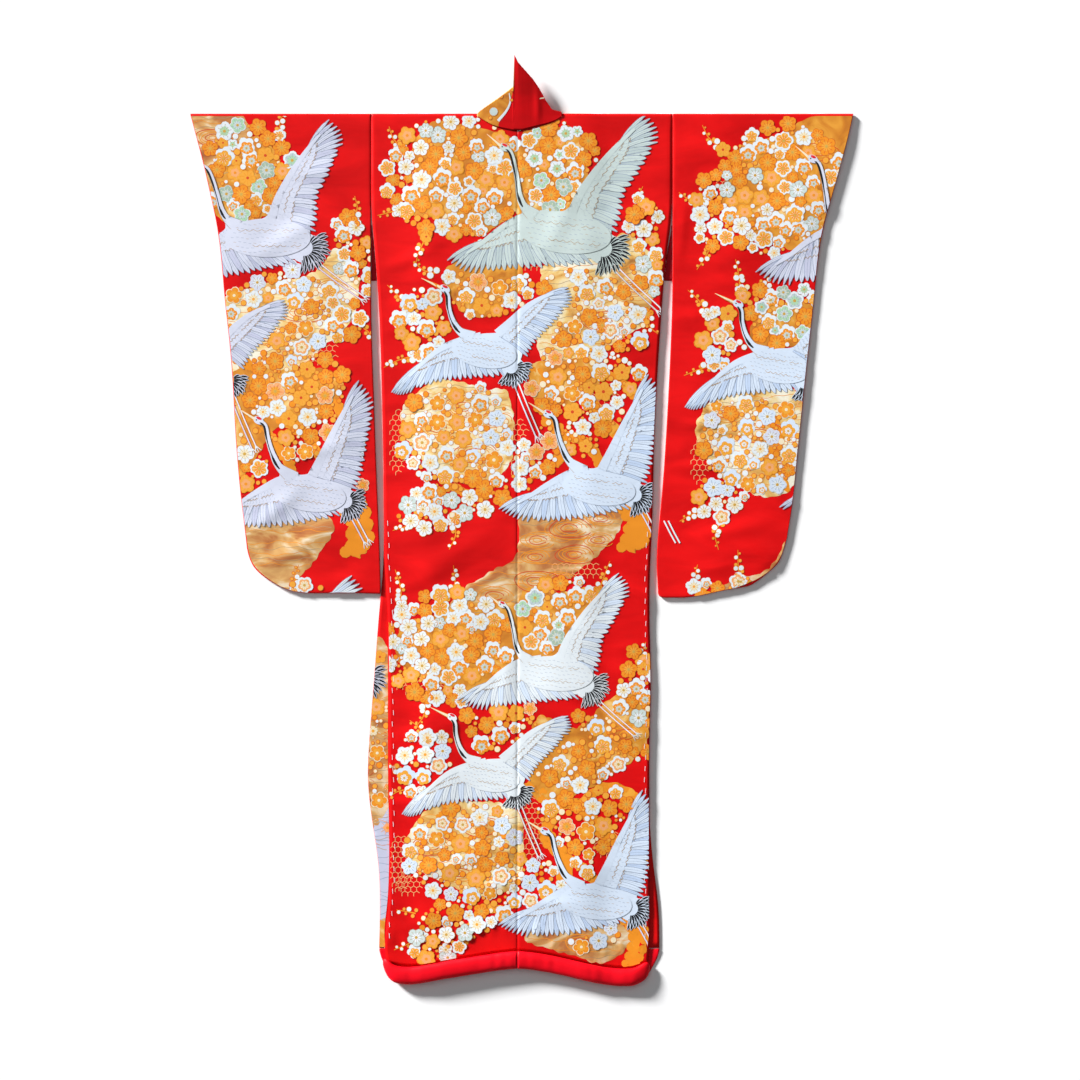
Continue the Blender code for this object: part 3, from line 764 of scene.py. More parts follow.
def sleeve_outline(side):
    """A sleeve's inner and outer edges and its foot, read off its solid."""
    node = "sleeve_" + WORDS[side]
    solid, (low, high) = SOLIDS[node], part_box(node)
    far, near = (low.x - PAST, high.x + PAST)[::-side]
    middle = SEAM_X + side * 0.42

    def inside(x, y):
        return solid.top(x, y) is not None

    ys = spread(SHOULDER_Y - 0.001, low.y + 0.018, 10 * MM)
    inner = softened(edge_x(inside, middle, near, ys), 3)
    whole_outer = edge_x(inside, middle, far, ys)
    straight = ys > SHOULDER_Y - 0.90   # below this the edge turns into the round corner
    fit = np.polyfit(ys[straight][-25:], whole_outer[straight][-25:], 1)
    outer = np.where(straight, whole_outer, np.polyval(fit, ys))
    return {
        "ys": ys, "inner": inner, "outer": softened(outer, 3),
        "whole_outer": softened(whole_outer, 1.5), "inside": inside, "low": low.y,
    }


SLEEVES = {-1: sleeve_outline(-1), 1: sleeve_outline(1)}


def sleeve_x(side, share, y):
    line = SLEEVES[side]
    inner, outer = at(line["ys"], line["inner"], y), at(line["ys"], line["outer"], y)
    return inner + (outer - inner) * share


def sleeve_foot(side, share):
    """Where the line at this share across a sleeve meets its foot."""
    line = SLEEVES[side]
    start, end = SHOULDER_Y - 0.7, line["low"] - 0.01

    def inside(_, y):
        return line["inside"](float(sleeve_x(side, share, y)), y)

    return start + (end - start) * reach(inside, (0, start), (0, end))


def sleeve_piece(side):
    """One sleeve as a flattened tube wall, its cuff and inner side open."""
    word = WORDS[side]
    shares = np.concatenate((
        (0, 0.008, 0.02), np.linspace(0.04, 0.7, 42), np.linspace(0.71, 0.97, 24),
        (0.98, 0.99, 0.996, 1.0),
    ))
    feet = [sleeve_foot(side, min(max(s, 0.004), 0.996)) for s in shares]
    feet = softened(np.array(feet), 1.5)
    outer_rings, inner_rings = [], []
    for share, foot in zip(shares, feet):
        back = spread(SHOULDER_Y - FOLD, foot + FOLD, GRID)
        front = np.linspace(foot + FOLD, SHOULDER_Y - FOLD, 60)
        points = np.column_stack((sleeve_x(side, share, back), back))
        edge_fade = smooth((SHOULDER_Y - back) / 0.02) * smooth((back - foot) / 0.03)
        z = HEIGHTS["sleeve_" + word](points) + (relief(points) - seam_dip(points)) * edge_fade
        for thick, rings in ((0.0, outer_rings), (SHELL, inner_rings)):
            rings.append(np.concatenate((
                np.column_stack((points, z - thick)),
                sleeve_turn(side, share, foot + FOLD, -1, z[-1], thick),
                np.column_stack((sleeve_x(side, share, front), front, np.full(60, thick))),
                sleeve_turn(side, share, SHOULDER_Y - FOLD, 1, z[0], thick)[::-1],
            )))
    most = max(len(ring) for ring in outer_rings)
    outer, inner = (
        np.array([resampled(ring, most) for ring in rings]) for rings in (outer_rings, inner_rings)
    )
    item = tube_wall("cloth_sleeve_" + word, outer, inner, MATERIALS["satin"])
    weave_front(item, (len(outer) - 1) * most)
    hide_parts("sleeve_" + word)
    return item


def sleeve_turn(side, share, y, sign, high, thick):
    """The points round the fold at a sleeve's top (plus) or foot (minus), from the back down."""
    middle = high / 2
    points = []
    for degrees in range(20, 180, 20):
        angle = math.radians(degrees)
        place = y + sign * (FOLD - thick) * math.sin(angle)
        x = float(sleeve_x(side, share, place))
        points.append((x, place, middle + (middle - thick) * math.cos(angle)))
    return np.array(points)


def resampled(ring, count):
    """The same ring with another number of points, spread by their order."""
    old = np.linspace(0, 1, len(ring))
    new = np.linspace(0, 1, count)
    return np.column_stack([np.interp(new, old, ring[:, k]) for k in range(3)])


def round_end(end, length, depth=1.0):
    """How full a roll is at a distance from its end, for an end of this length and depth."""
    return math.sqrt(1 - depth * (1 - min(1.0, end / length)) ** 2)


def powered(value, power):
    return math.copysign(abs(value) ** power, value)


def roll_sections(node):
    """A roll's solid read across at places along it: x, two edges, base and top."""
    solid, (low, high) = SOLIDS[node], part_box(node)
    sections = []
    for x in spread(low.x + 0.0003, high.x - 0.0003, 4 * MM):
        hits = [(y, solid.top(x, y)) for y in np.arange(low.y - 0.002, high.y + 0.002, 1.5 * MM)]
        hits = [hit for hit in hits if hit[1] is not None]
        if len(hits) < 3:
            continue
        y_low, y_high = hits[0][0], hits[-1][0]
        base = solid.under(x, (y_low + y_high) / 2)
        sections.append((x, y_low, y_high, base, max(top for _, top in hits)))
    sections = np.array(sections)
    for column in range(1, 5):
        sections[:, column] = softened(sections[:, column], 2)
    return sections


def roll_ring(x, y_low, y_high, base, top, rounding):
    """The outline across a roll at one place, fuller and slacker by turns along it."""
    puckers = value_noise(np.array([[x, 0.3]]), 0.011, SEED + 4)[0]
    swell = value_noise(np.array([[x, 0.9]]), 0.05, SEED + 5)[0]
    middle, half = (y_low + y_high) / 2, (y_high - y_low) / 2 * rounding
    height = (top - base) / 2 * (1 + 0.04 * swell) * (0.4 + 0.6 * rounding)
    ring = []
    for angle in np.radians(np.arange(-80, 261, 12)):
        gather = height * (0.10 * puckers * max(0.0, math.sin(angle + 0.6)) - 0.05)
        y = middle + half * powered(math.cos(angle), 0.8)
        up = powered(math.sin(angle), 0.85)
        ring.append((x, y, base + height + (height + min(0.0, gather)) * up))
    return ring


def hem_roll(place, word):
    """A wadded hem roll: full and round, gathered a little along its seam."""
    node = "fuki_" + place + "_" + word
    sections = roll_sections(node)
    rings = []
    for x, y_low, y_high, base, top in sections:
        end = min(x - sections[0, 0], sections[-1, 0] - x)
        rounding = 1.0
        if place == "front":
            y_low += (y_high - y_low) * 0.86 * (1 - round_end(end, 0.040))
        elif abs(x - SEAM_X) >= 0.03:
            rounding = round_end(end, 0.014, 0.9)
        rings.append(roll_ring(x, y_low, y_high, base, top, rounding))
    item = loft("cloth_" + node, np.array(rings), MATERIALS["roll"])
    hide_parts(node)
    return item


COLLAR_ROWS = 40


def collar_column(x):
    """The collar's upper side at one x, from its foot to its head, or None past its ends."""
    solid, (low, high) = SOLIDS["collar_neck"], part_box("collar_neck")
    ys = np.arange(low.y - 0.001, high.y + 0.001, 0.8 * MM)
    hits = [y for y in ys if solid.top(x, y) is not None]
    if len(hits) < 2:
        return None
    foot = min(hits) + (0.0 if len(hits) < 4 else 0.0002)
    rows = np.linspace(foot, max(hits), COLLAR_ROWS)
    top = np.array([solid.top(x, y) or np.nan for y in rows])
    good = ~np.isnan(top)
    top = np.interp(rows, rows[good], top[good])
    crease = 1.6 * MM * math.exp(-(((x - SEAM_X - 0.042) / 0.006) ** 2))
    share = (rows - rows[0]) / (rows[-1] - rows[0])
    z = top + crease * np.sin(math.pi * share)
    return np.column_stack((np.full(COLLAR_ROWS, x), rows, z))


def colour_collar(item):
    """Gives the faces left of the collar's turned edge its woven outside."""
    item.data.materials.append(MATERIALS["ochre"])
    for face in item.data.polygons:
        down = (SHOULDER_Y - face.center.y) / CM
        edge = np.interp(down, (-5.6, -1.45, 2.23), (-0.62, -1.65, -3.96))
        face.material_index = int(face.center.x < SEAM_X + edge * CM)


def standing_collar():
    """The collar behind the neck, from its solid's columns, with a soft crease on its red side."""
    low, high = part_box("collar_neck")
    columns = [collar_column(x) for x in np.concatenate((
        spread(low.x + 0.0006, SEAM_X - 0.0445, 2 * MM),
        spread(SEAM_X - 0.0435, SEAM_X - 0.0045, 0.6 * MM),
        spread(SEAM_X - 0.004, high.x - 0.0006, 2 * MM),
    ))]
    upper = np.array([column for column in columns if column is not None])
    lower = upper - (0, 0, 1.5 * SHELL)
    for grid in (upper, lower):
        for k in range(COLLAR_ROWS):
            grid[:, k, 2] = softened(grid[:, k, 2], 1.5)
    item = sheet_wall("cloth_collar_neck", upper, lower, MATERIALS["collar_face"])
    colour_collar(item)
    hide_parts("collar_neck")
    return item


def flat_piece(name, node, material, step=16 * MM):
    """A level strip: a fine shell over a flat node, read row by row."""
    solid, (low, high) = SOLIDS[node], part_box(node)
    count = 26
    inset = np.minimum(np.arange(count), np.arange(count)[::-1])
    upper, lower = [], []
    for y in spread(high.y - 0.0004, low.y + 0.0004, step):
        xs = np.arange(low.x - 0.001, high.x + 0.001, 1.0 * MM)
        hits = [x for x in xs if solid.top(x, y) is not None]
        if len(hits) < 2:
            continue
        xs = np.linspace(min(hits), max(hits), count)
        floor = under_line(solid, xs, y)
        top = np.array([solid.top(x, y) or 0.0 for x in xs])
        rounding = 0.35 * (top - floor) * np.exp(-inset / 0.8)
        upper.append(np.column_stack((xs, np.full(count, y), top - rounding)))
        lower.append(np.column_stack((xs, np.full(count, y), floor)))
    item = sheet_wall(name, np.array(upper), np.array(lower), material)
    if material == MATERIALS["satin"]:
        weave_front(item)
    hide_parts(node)
    return item


# ---------------------------------------------------------------- where figures may lie

class Cloth:
    """One visible stretch of cloth: its edges in plan and the height of its upper side."""

    def __init__(self, height, ys, left, right, top_line, foot_line, margin=1.2 * MM):
        self.height, self.margin = height, margin
        self.ys, self.left, self.right = ys, left, right
        self.top_line, self.foot_line = top_line, foot_line

    def clamp(self, points):
        x, y = points[:, 0].copy(), points[:, 1].copy()
        m = self.margin
        x = np.clip(x, at(self.ys, self.left, y) + m, at(self.ys, self.right, y) - m)
        y = np.clip(y, self.foot_line(x) + m, self.top_line(x) - m)
        x = np.clip(x, at(self.ys, self.left, y) + m, at(self.ys, self.right, y) - m)
        return np.column_stack((x, y))


def back_cloth():
    left, right = OUTLINES[-1], OUTLINES[1]
    ys = spread(SHOULDER_Y, min(min(left["hem"]), min(right["hem"])) - 0.005, 10 * MM)

    def top_line(x):
        first = at(left["neck"], left["neck_ys"], x)
        second = at(right["neck"], right["neck_ys"], x)
        inside = (x > left["neck"][0]) & (x < right["neck"][0])
        return np.where(inside, np.where(x < SEAM_X, first, second), SHOULDER_Y - 0.004)

    def foot_line(x):
        return np.where(x < SEAM_X, hem_y(-1, x), hem_y(1, x))

    return Cloth(
        lambda p: HEIGHTS["back"](p) + relief(p), ys,
        at(left["back_ys"], left["back_outer"], ys), at(right["back_ys"], right["back_outer"], ys),
        top_line, foot_line,
    )


def sleeve_cloth(side):
    """The back of one sleeve."""
    line = SLEEVES[side]
    left, right = (line["whole_outer"], line["inner"])[::-side]
    shares = np.linspace(0.01, 0.99, 40)
    xs = np.array([float(sleeve_x(side, share, line["low"] + 0.05)) for share in shares])
    feet = edge_y(line["inside"], SHOULDER_Y - 0.7, line["low"] - PAST, xs)
    return Cloth(
        lambda p: HEIGHTS["sleeve_" + WORDS[side]](p) + relief(p), line["ys"], left, right,
        lambda x: np.full(len(x), SHOULDER_Y - 0.004), lambda x: at(xs, feet, x),
    )


def front_strip():
    """The left front where it bulges out beyond the side seam."""
    line = OUTLINES[-1]
    ys, outer = line["ys"], line["front_outer"]
    inner = at(line["back_ys"], line["back_outer"], ys) - 0.001
    return Cloth(
        lambda p: np.full(len(p), SHELL), ys, outer, np.maximum(inner, outer + 0.003),
        lambda x: np.full(len(x), SHOULDER_Y - 0.98),
        lambda x: np.full(len(x), line["low"] + 0.002), 0.4 * MM,
    )


def collar_cloth():
    """The collar behind the neck, its height read by rays at each point."""
    solid = SOLIDS["collar_neck"]
    low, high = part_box("collar_neck")
    xs = spread(low.x + 0.001, high.x - 0.001, 3 * MM)
    rows = np.arange(low.y, high.y, 1.0 * MM)
    hits = [[y for y in rows if solid.top(x, y) is not None] for x in xs]
    foot, head = np.array([min(h) for h in hits]), np.array([max(h) for h in hits])
    return Cloth(
        lambda p: np.array([solid.top(x, y) or high.z for x, y in p]),
        np.array([high.y, low.y]), np.full(2, low.x), np.full(2, high.x),
        lambda x: at(xs, head, x), lambda x: at(xs, foot, x), 0.5 * MM,
    )


CLOTHS = {
    "collar": collar_cloth(), "back": back_cloth(), "front": front_strip(),
    "sleeve_left": sleeve_cloth(-1), "sleeve_right": sleeve_cloth(1),
}


# ---------------------------------------------------------------- woven figures

def ribbon(path, widths, crown=0.04):
    """A closed strip along a path in centimetres, with its middle raised by crown millimetres."""
    path = np.asarray(path, float)
    widths = np.maximum(np.broadcast_to(widths, len(path)), 0.02)
    heading = np.gradient(path, axis=0)
    heading /= np.maximum(np.linalg.norm(heading, axis=1, keepdims=True), 1e-9)
    normal = np.column_stack((-heading[:, 1], heading[:, 0]))
    left = path + normal * widths[:, None] / 2
    right = path - normal * widths[:, None] / 2
    points = np.stack((left, path, right), 1).reshape(-1, 2)
    lift = np.tile((0.0, crown, 0.0), len(path))
    faces = []
    for k in range(0, 3 * (len(path) - 1), 3):
        faces.append((k + 1, k + 4, k + 3, k))
        faces.append((k + 2, k + 5, k + 4, k + 1))
        faces.append((k, k + 3, k + 5, k + 2))
    last = 3 * (len(path) - 1)
    faces.append((0, 2, 1))
    faces.append((last, last + 1, last + 2))
    return points, lift, faces


def disc(outline, crown=0.04):
    """A closed thin lens inside an outline that runs anticlockwise, in centimetres."""
    outline = np.asarray(outline, float)
    count = len(outline)
    points = np.vstack((outline, outline.mean(0)))
    lift = np.append(np.zeros(count), crown)
    faces = [(k, (k + 1) % count, count) for k in range(count)]
    faces.append(tuple(range(count - 1, -1, -1)))
    return points, lift, faces


def oval(x, y, rx, ry, turn=0.0, count=10):
    angles = np.linspace(0, 2 * math.pi, count, endpoint=False)
    c, s = cos_sin(turn)
    u, v = rx * np.cos(angles), ry * np.sin(angles)
    return np.column_stack((x + u * c - v * s, y + u * s + v * c))


def spline(a, b, c, d, t):
    """The smooth curve from b to c at t, where a comes before them and d after."""
    return 0.5 * (
        2 * b + (c - a) * t + (2 * a - 5 * b + 4 * c - d) * t ** 2
        + (3 * b - a - 3 * c + d) * t ** 3
    )


def curve_through(points, count):
    """A smooth open curve through given points, evenly sampled."""
    points = np.asarray(points, float)
    before = 2 * points[0] - points[1]
    after = 2 * points[-1] - points[-2]
    full = np.vstack((before, points, after))
    places = np.linspace(0, len(points) - 1, count)
    k = np.minimum(places.astype(int), len(points) - 2)
    return spline(full[k], full[k + 1], full[k + 2], full[k + 3], (places - k)[:, None])


def anticlockwise(outline):
    """The same closed line, turned round if it runs clockwise."""
    after = np.roll(outline, -1, 0)
    area = (outline[:, 0] * after[:, 1] - after[:, 0] * outline[:, 1]).sum()
    return outline if area > 0 else outline[::-1]


def closed_curve(points, step):
    """A smooth closed line through given places, with a point about every step centimetres."""
    points = np.asarray(points, float)
    count = len(points)
    result = []
    for k in range(count):
        a, b, c, d = (points[(k + off) % count] for off in (-1, 0, 1, 2))
        pieces = max(2, int(np.linalg.norm(c - b) / step))
        result += [spline(a, b, c, d, j / pieces) for j in range(pieces)]
    return anticlockwise(np.array(result))


def scalloped(line, depth, length):
    """The same closed line with soft uneven lobes along it, like the edge of a cloud."""
    run = np.concatenate(([0], np.cumsum(np.linalg.norm(np.diff(line, axis=0), axis=1))))
    heading = np.roll(line, -1, 0) - np.roll(line, 1, 0)
    heading /= np.maximum(np.linalg.norm(heading, axis=1, keepdims=True), 1e-9)
    normal = np.column_stack((heading[:, 1], -heading[:, 0]))
    lobes = np.abs(np.sin(math.pi * run / length)) * (0.6 + 0.4 * np.sin(run * 0.9))
    return line + normal * (depth * lobes)[:, None]


def inside_line(points, line):
    """Which points lie inside a closed line, by counting the crossings to their right."""
    a, b = line, np.roll(line, -1, 0)
    x, y = points[:, 0][:, None], points[:, 1][:, None]
    above = (a[:, 1] > y) != (b[:, 1] > y)
    rise = np.where(b[:, 1] == a[:, 1], 1e-12, b[:, 1] - a[:, 1])
    crossing = a[:, 0] + (y - a[:, 1]) * (b[:, 0] - a[:, 0]) / rise
    return (above & (x < crossing)).sum(1) % 2 == 1


def inner_points(outline, cell):
    """Points a cell apart inside a closed line, in staggered rows, with none close to it."""
    low, high = outline.min(0), outline.max(0)
    rows = np.arange(low[1], high[1], cell * 0.87)
    columns = np.arange(low[0], high[0], cell)
    grid = np.array([(x + cell / 2 * (r % 2), y) for r, y in enumerate(rows) for x in columns])
    grid = grid[inside_line(grid, outline)]
    away = np.array([np.linalg.norm(outline - p, axis=1).min() for p in grid])
    return grid[away > 0.45 * cell]


def two_sided(triangles, plan, rim, below):
    """Faces that look up, and faces that look down from the points below, closed at the rim."""
    faces = []
    for a, b, c in triangles:
        if rim[a] and rim[b] and rim[c]:
            continue
        (ax, ay), (bx, by), (cx, cy) = plan[a], plan[b], plan[c]
        if (bx - ax) * (cy - ay) - (by - ay) * (cx - ax) < 0:
            b, c = c, b
        faces.append((a, b, c))
        faces.append((int(below[c]), int(below[b]), int(below[a])))
    return faces


def filled(outline, cell, crown=0.06):
    """A closed thin area inside an outline, with points in it so that it follows the cloth."""
    corners = [Vector(p) for p in np.vstack((outline, inner_points(outline, cell)))]
    count = len(outline)
    result = delaunay_2d_cdt(corners, [], [list(range(count))], 1, 1e-6)
    plan = np.array([tuple(v) for v in result[0]])
    rim = np.array([not source or min(source) < count for source in result[3]])
    inner = np.flatnonzero(~rim)
    below = np.arange(len(plan))
    below[inner] = len(plan) + np.arange(len(inner))
    faces = two_sided(result[2], plan, rim, below)
    used = sorted({k for face in faces for k in face})
    renumber = {old: new for new, old in enumerate(used)}
    faces = [tuple(renumber[k] for k in face) for face in faces]
    points = np.vstack((plan, plan[inner]))[used]
    lift = np.concatenate((np.where(rim, 0.0, crown), np.full(len(inner), -0.02)))[used]
    return points, lift, faces


def cut_at_seam(mesh):
    """Splits the shapes that cross the centre-back seam, so that they dip into it."""
    cut = bmesh.new()
    cut.from_mesh(mesh)
    for off in (-0.5, -0.2, 0.0, 0.2, 0.5):
        near = [f for f in cut.faces if abs(f.calc_center_median().x - SEAM_X) < 5 * CM]
        edges = {e for f in near for e in f.edges}
        corners = {v for f in near for v in f.verts}
        bmesh.ops.bisect_plane(
            cut, geom=[*corners, *edges, *near], dist=1e-7,
            plane_co=(SEAM_X + off * CM, 0, 0), plane_no=(1, 0, 0),
        )
    cut.to_mesh(mesh)
    cut.free()
    points = np.array([v.co for v in mesh.vertices])
    points[:, 2] -= seam_dip(points)
    mesh.vertices.foreach_set("co", points.ravel())
    mesh.update()


# Which part of a shape may lie past the cloth's edge before it is left out, and how far past
# counts.
GROUND_LIMIT, LIMIT, STRIP_LIMIT = 0.99, 0.6, 0.35
PAST_EDGE = 1.5 * MM
SHARP = math.radians(35)        # edges of the figures steeper than this are shaded as edges


class Figures:
    """Thin raised shapes gathered into one mesh that lies on one stretch of cloth."""

    def __init__(self, name, cloth, limit=LIMIT):
        self.name, self.cloth, self.limit = name, CLOTHS[cloth], limit
        self.seam = cloth == "back"
        self.shapes = []
        self.flats = []
        self.placed = np.zeros((0, 2))

    def add(self, shape, colour, level, place=(0, 0), turn=0.0, scale=1.0):
        """Puts a shape, drawn in centimetres with y up, at a place on the garment."""
        points, lift, faces = shape
        c, s = (value * scale for value in cos_sin(turn))
        u, v = points[:, 0], points[:, 1]
        plan = np.column_stack((place[0] + u * c - v * s, place[1] - (u * s + v * c)))
        self.shapes.append((plan, lift + level, faces, MATERIAL_ORDER.index(colour)))

    def heights(self, held, starts, ends):
        """The points' heights. What is listed in flats lies on a plane, clear of the cloth."""
        z = self.cloth.height(held)
        for first, end in self.flats:
            a, b = starts[first], ends[end - 1]
            span = np.column_stack((held[a:b] - held[a], np.ones(b - a)))
            plane = span @ np.linalg.lstsq(span, z[a:b], rcond=None)[0]
            z[a:b] = plane + max(0.0, (z[a:b] - plane).max())
        return z + np.concatenate([shape[1] for shape in self.shapes]) * MM

    def finish(self):
        """Lays the shapes on the cloth without those that are past its edge, as one mesh."""
        sizes = np.array([len(shape[0]) for shape in self.shapes])
        ends = np.cumsum(sizes)
        starts = ends - sizes
        world = on_garment(np.concatenate([shape[0] for shape in self.shapes]))
        held = self.cloth.clamp(world)
        moved = (np.linalg.norm(held - world, axis=1) > PAST_EDGE).astype(float)
        kept = np.add.reduceat(moved, starts) / sizes <= self.limit
        laid = np.column_stack((held, self.heights(held, starts, ends)))
        points, faces, slots, base = [], [], [], 0
        for k in np.flatnonzero(kept):
            _, _, shape_faces, slot = self.shapes[k]
            points.append(laid[starts[k]:ends[k]])
            faces += [tuple(base + i for i in face) for face in shape_faces]
            slots += [slot] * len(shape_faces)
            base += int(sizes[k])
        points = np.concatenate(points)
        self.placed = points[:, :2]
        used = sorted(set(slots))
        slots = [used.index(k) for k in slots]
        materials = [MATERIALS[MATERIAL_ORDER[k]] for k in used]
        item = add_mesh(self.name, points, faces, materials, slots)
        if self.seam:
            cut_at_seam(item.data)
        item.data.set_sharp_from_angle(angle=SHARP)
        return item


# ---------------------------------------------------------------- plum blossoms

# Colours from the outside in: rim, petals, heart, fine lines, eye; then the rim's width in cm,
# and the share of the radius by which the petals slip to one side of it.
BLOSSOMS = {
    "white": ("orange", "white", "cream", "tan", "gold", 0.10, 0),
    "white_gold": ("white", "white", "cream", "gold", "amber", 0.10, 0),
    "white_green": ("white", "white", "green", "tan", "gold", 0.12, 0),
    "green": ("white", "green", "pearl_light", "slate", "gold", 0.24, 0),
    "sage": ("pearl_light", "sage", "pearl", "cream", "gold", 0.22, 0),
    "pearl": ("tan", "pearl_light", "white", "tan", "gold", 0.09, 0),
    "ice": ("white", "ice_light", "white", "slate", "gold", 0.14, 0),
    "lilac": ("white", "lilac_light", "white", "tan", "gold", 0.16, 0),
    "orange": ("red_line", "orange", "amber", "red_line", "gold", 0.08, 0),
    "amber": ("orange", "amber", "amber", "orange", "red_line", 0.10, 0),
    "orange_white": ("cream", "orange", "amber", "amber", "cream", 0.20, 0),
    "peach": ("cream", "peach", "amber", "red_line", "gold", 0.14, 0),
    "ring": ("white", "amber", "orange", "cream", "gold", 0.46, 0),
    "ring_pale": ("white", "peach", "cream", "amber", "gold", 0.52, 0),
    "ring_sage": ("white", "pearl", "green", "slate", "gold", 0.48, 0),
    "half": ("white", "orange", "pearl", "cream", "gold", 0.46, 0.27),
    "half_amber": ("white", "amber", "orange", "cream", "gold", 0.42, 0.25),
    "half_ice": ("ice_light", "amber", "white", "orange", "gold", 0.50, 0.30),
    "lined": ("orange", "amber", "peach", "peach", "orange", 0.14, 0),
}
# Heights of a blossom's layers over its rim, in millimetres.
PETALS, HEART, RIM_LINES, FINE_LINES, EYE = 0.03, 0.06, 0.07, 0.10, 0.13
SMALL = 1.36                    # radius in cm below which a blossom has fewer lines


def lobed(radius, turn):
    """The outline of five petals: circles of radius 0.47 whose centres are 0.56 from the middle."""
    angles = np.radians(np.arange(0, 360, 18))
    away = (angles + math.radians(36)) % math.radians(72) - math.radians(36)
    reach_out = 0.56 * np.cos(away) + np.sqrt(0.2209 - (0.56 * np.sin(away)) ** 2)
    angles = angles + math.radians(turn)
    return radius / 1.03 * np.column_stack((reach_out * np.cos(angles), reach_out * np.sin(angles)))


def ray(start, end, degrees):
    """The two ends of a line that runs outwards from the middle."""
    c, s = cos_sin(degrees)
    return [(start * c, start * s), (end * c, end * s)]


def blossom(figures, kind, x, down, radius, turn, level):
    """A five-petalled plum blossom seen from the front."""
    rim, petal, heart, line, eye, edge, slip = BLOSSOMS[kind]
    first = len(figures.shapes)
    figures.add(disc(lobed(radius, turn)), rim, level, (x, down))
    aside = math.radians(turn - 36)
    x, down = x + slip * radius * math.sin(aside), down + slip * radius * math.cos(aside)
    figures.add(disc(lobed(radius - edge, turn)), petal, level + PETALS, (x, down))
    radius *= 1 - 0.8 * slip
    figures.add(disc(lobed(radius * 0.50, turn), 0.03), heart, level + HEART, (x, down))
    small = radius < SMALL
    for k in range(0 if slip or small else 5):
        notch = ribbon(ray(0.48 * radius, 0.78 * radius, turn + 36 + 72 * k), 0.09)
        figures.add(notch, rim, level + RIM_LINES, (x, down))
    for k in range(0, 10, 2 if small else 1):
        far = radius * (0.72 if k % 2 == 0 else 0.56)
        stamen = ribbon(ray(0.22 * radius, far, turn + 36 * k), (0.05, 0.10))
        figures.add(stamen, line, level + FINE_LINES, (x, down))
    figures.add(disc(oval(0, 0, 0.17 * radius, 0.17 * radius, 0, 7)), eye, level + EYE, (x, down))
    figures.flats.append((first, len(figures.shapes)))


def bud(figures, x, down, radius, colour, level):
    """A round bud with a thin rim."""
    first = len(figures.shapes)
    rim = "red_line" if colour in ("amber", "orange") else "orange"
    for size, shade, height in ((radius, rim, level), (radius - 0.09, colour, level + PETALS)):
        figures.add(disc(oval(0, 0, size, size)), shade, height, (x, down))
    figures.flats.append((first, len(figures.shapes)))


def spray(figures, rng, x, down, heading, length):
    """A short flowering twig: a thin stem with buds in pairs, smaller to its end."""
    along_x, along_y = cos_sin(heading)
    bow = rng.uniform(-0.18, 0.18) * length
    line = curve_through((
        (x, -down),
        (x + along_x * length / 2 - bow * along_y, -down + along_y * length / 2 + bow * along_x),
        (x + along_x * length, -down + along_y * length),
    ), 9)
    figures.add(ribbon(line, np.linspace(0.34, 0.12, 9)), "orange", 0.30)
    count = max(4, int(length / 0.62))
    for k in range(count):
        share = (k + 0.4) / count
        at_stem = line[int(share * 8)]
        off = (0.72 - 0.4 * share) * (1 if k % 2 else -1)
        bx = at_stem[0] - off * along_y
        by = -(at_stem[1] + off * along_x)
        white = rng.random() < 0.5
        size = (0.74 - 0.36 * share) * rng.uniform(0.85, 1.15)
        bud(figures, bx, by, size if white else size * 0.76, "white" if white else "amber", 0.36)
    if rng.random() < 0.75:
        blossom(figures, rng.choice(("white", "orange", "ring", "amber")), x - 0.6 * along_x,
                down + 0.6 * along_y, rng.uniform(1.3, 1.7), rng.uniform(0, 72), 0.42)


# ---------------------------------------------------------------- cranes

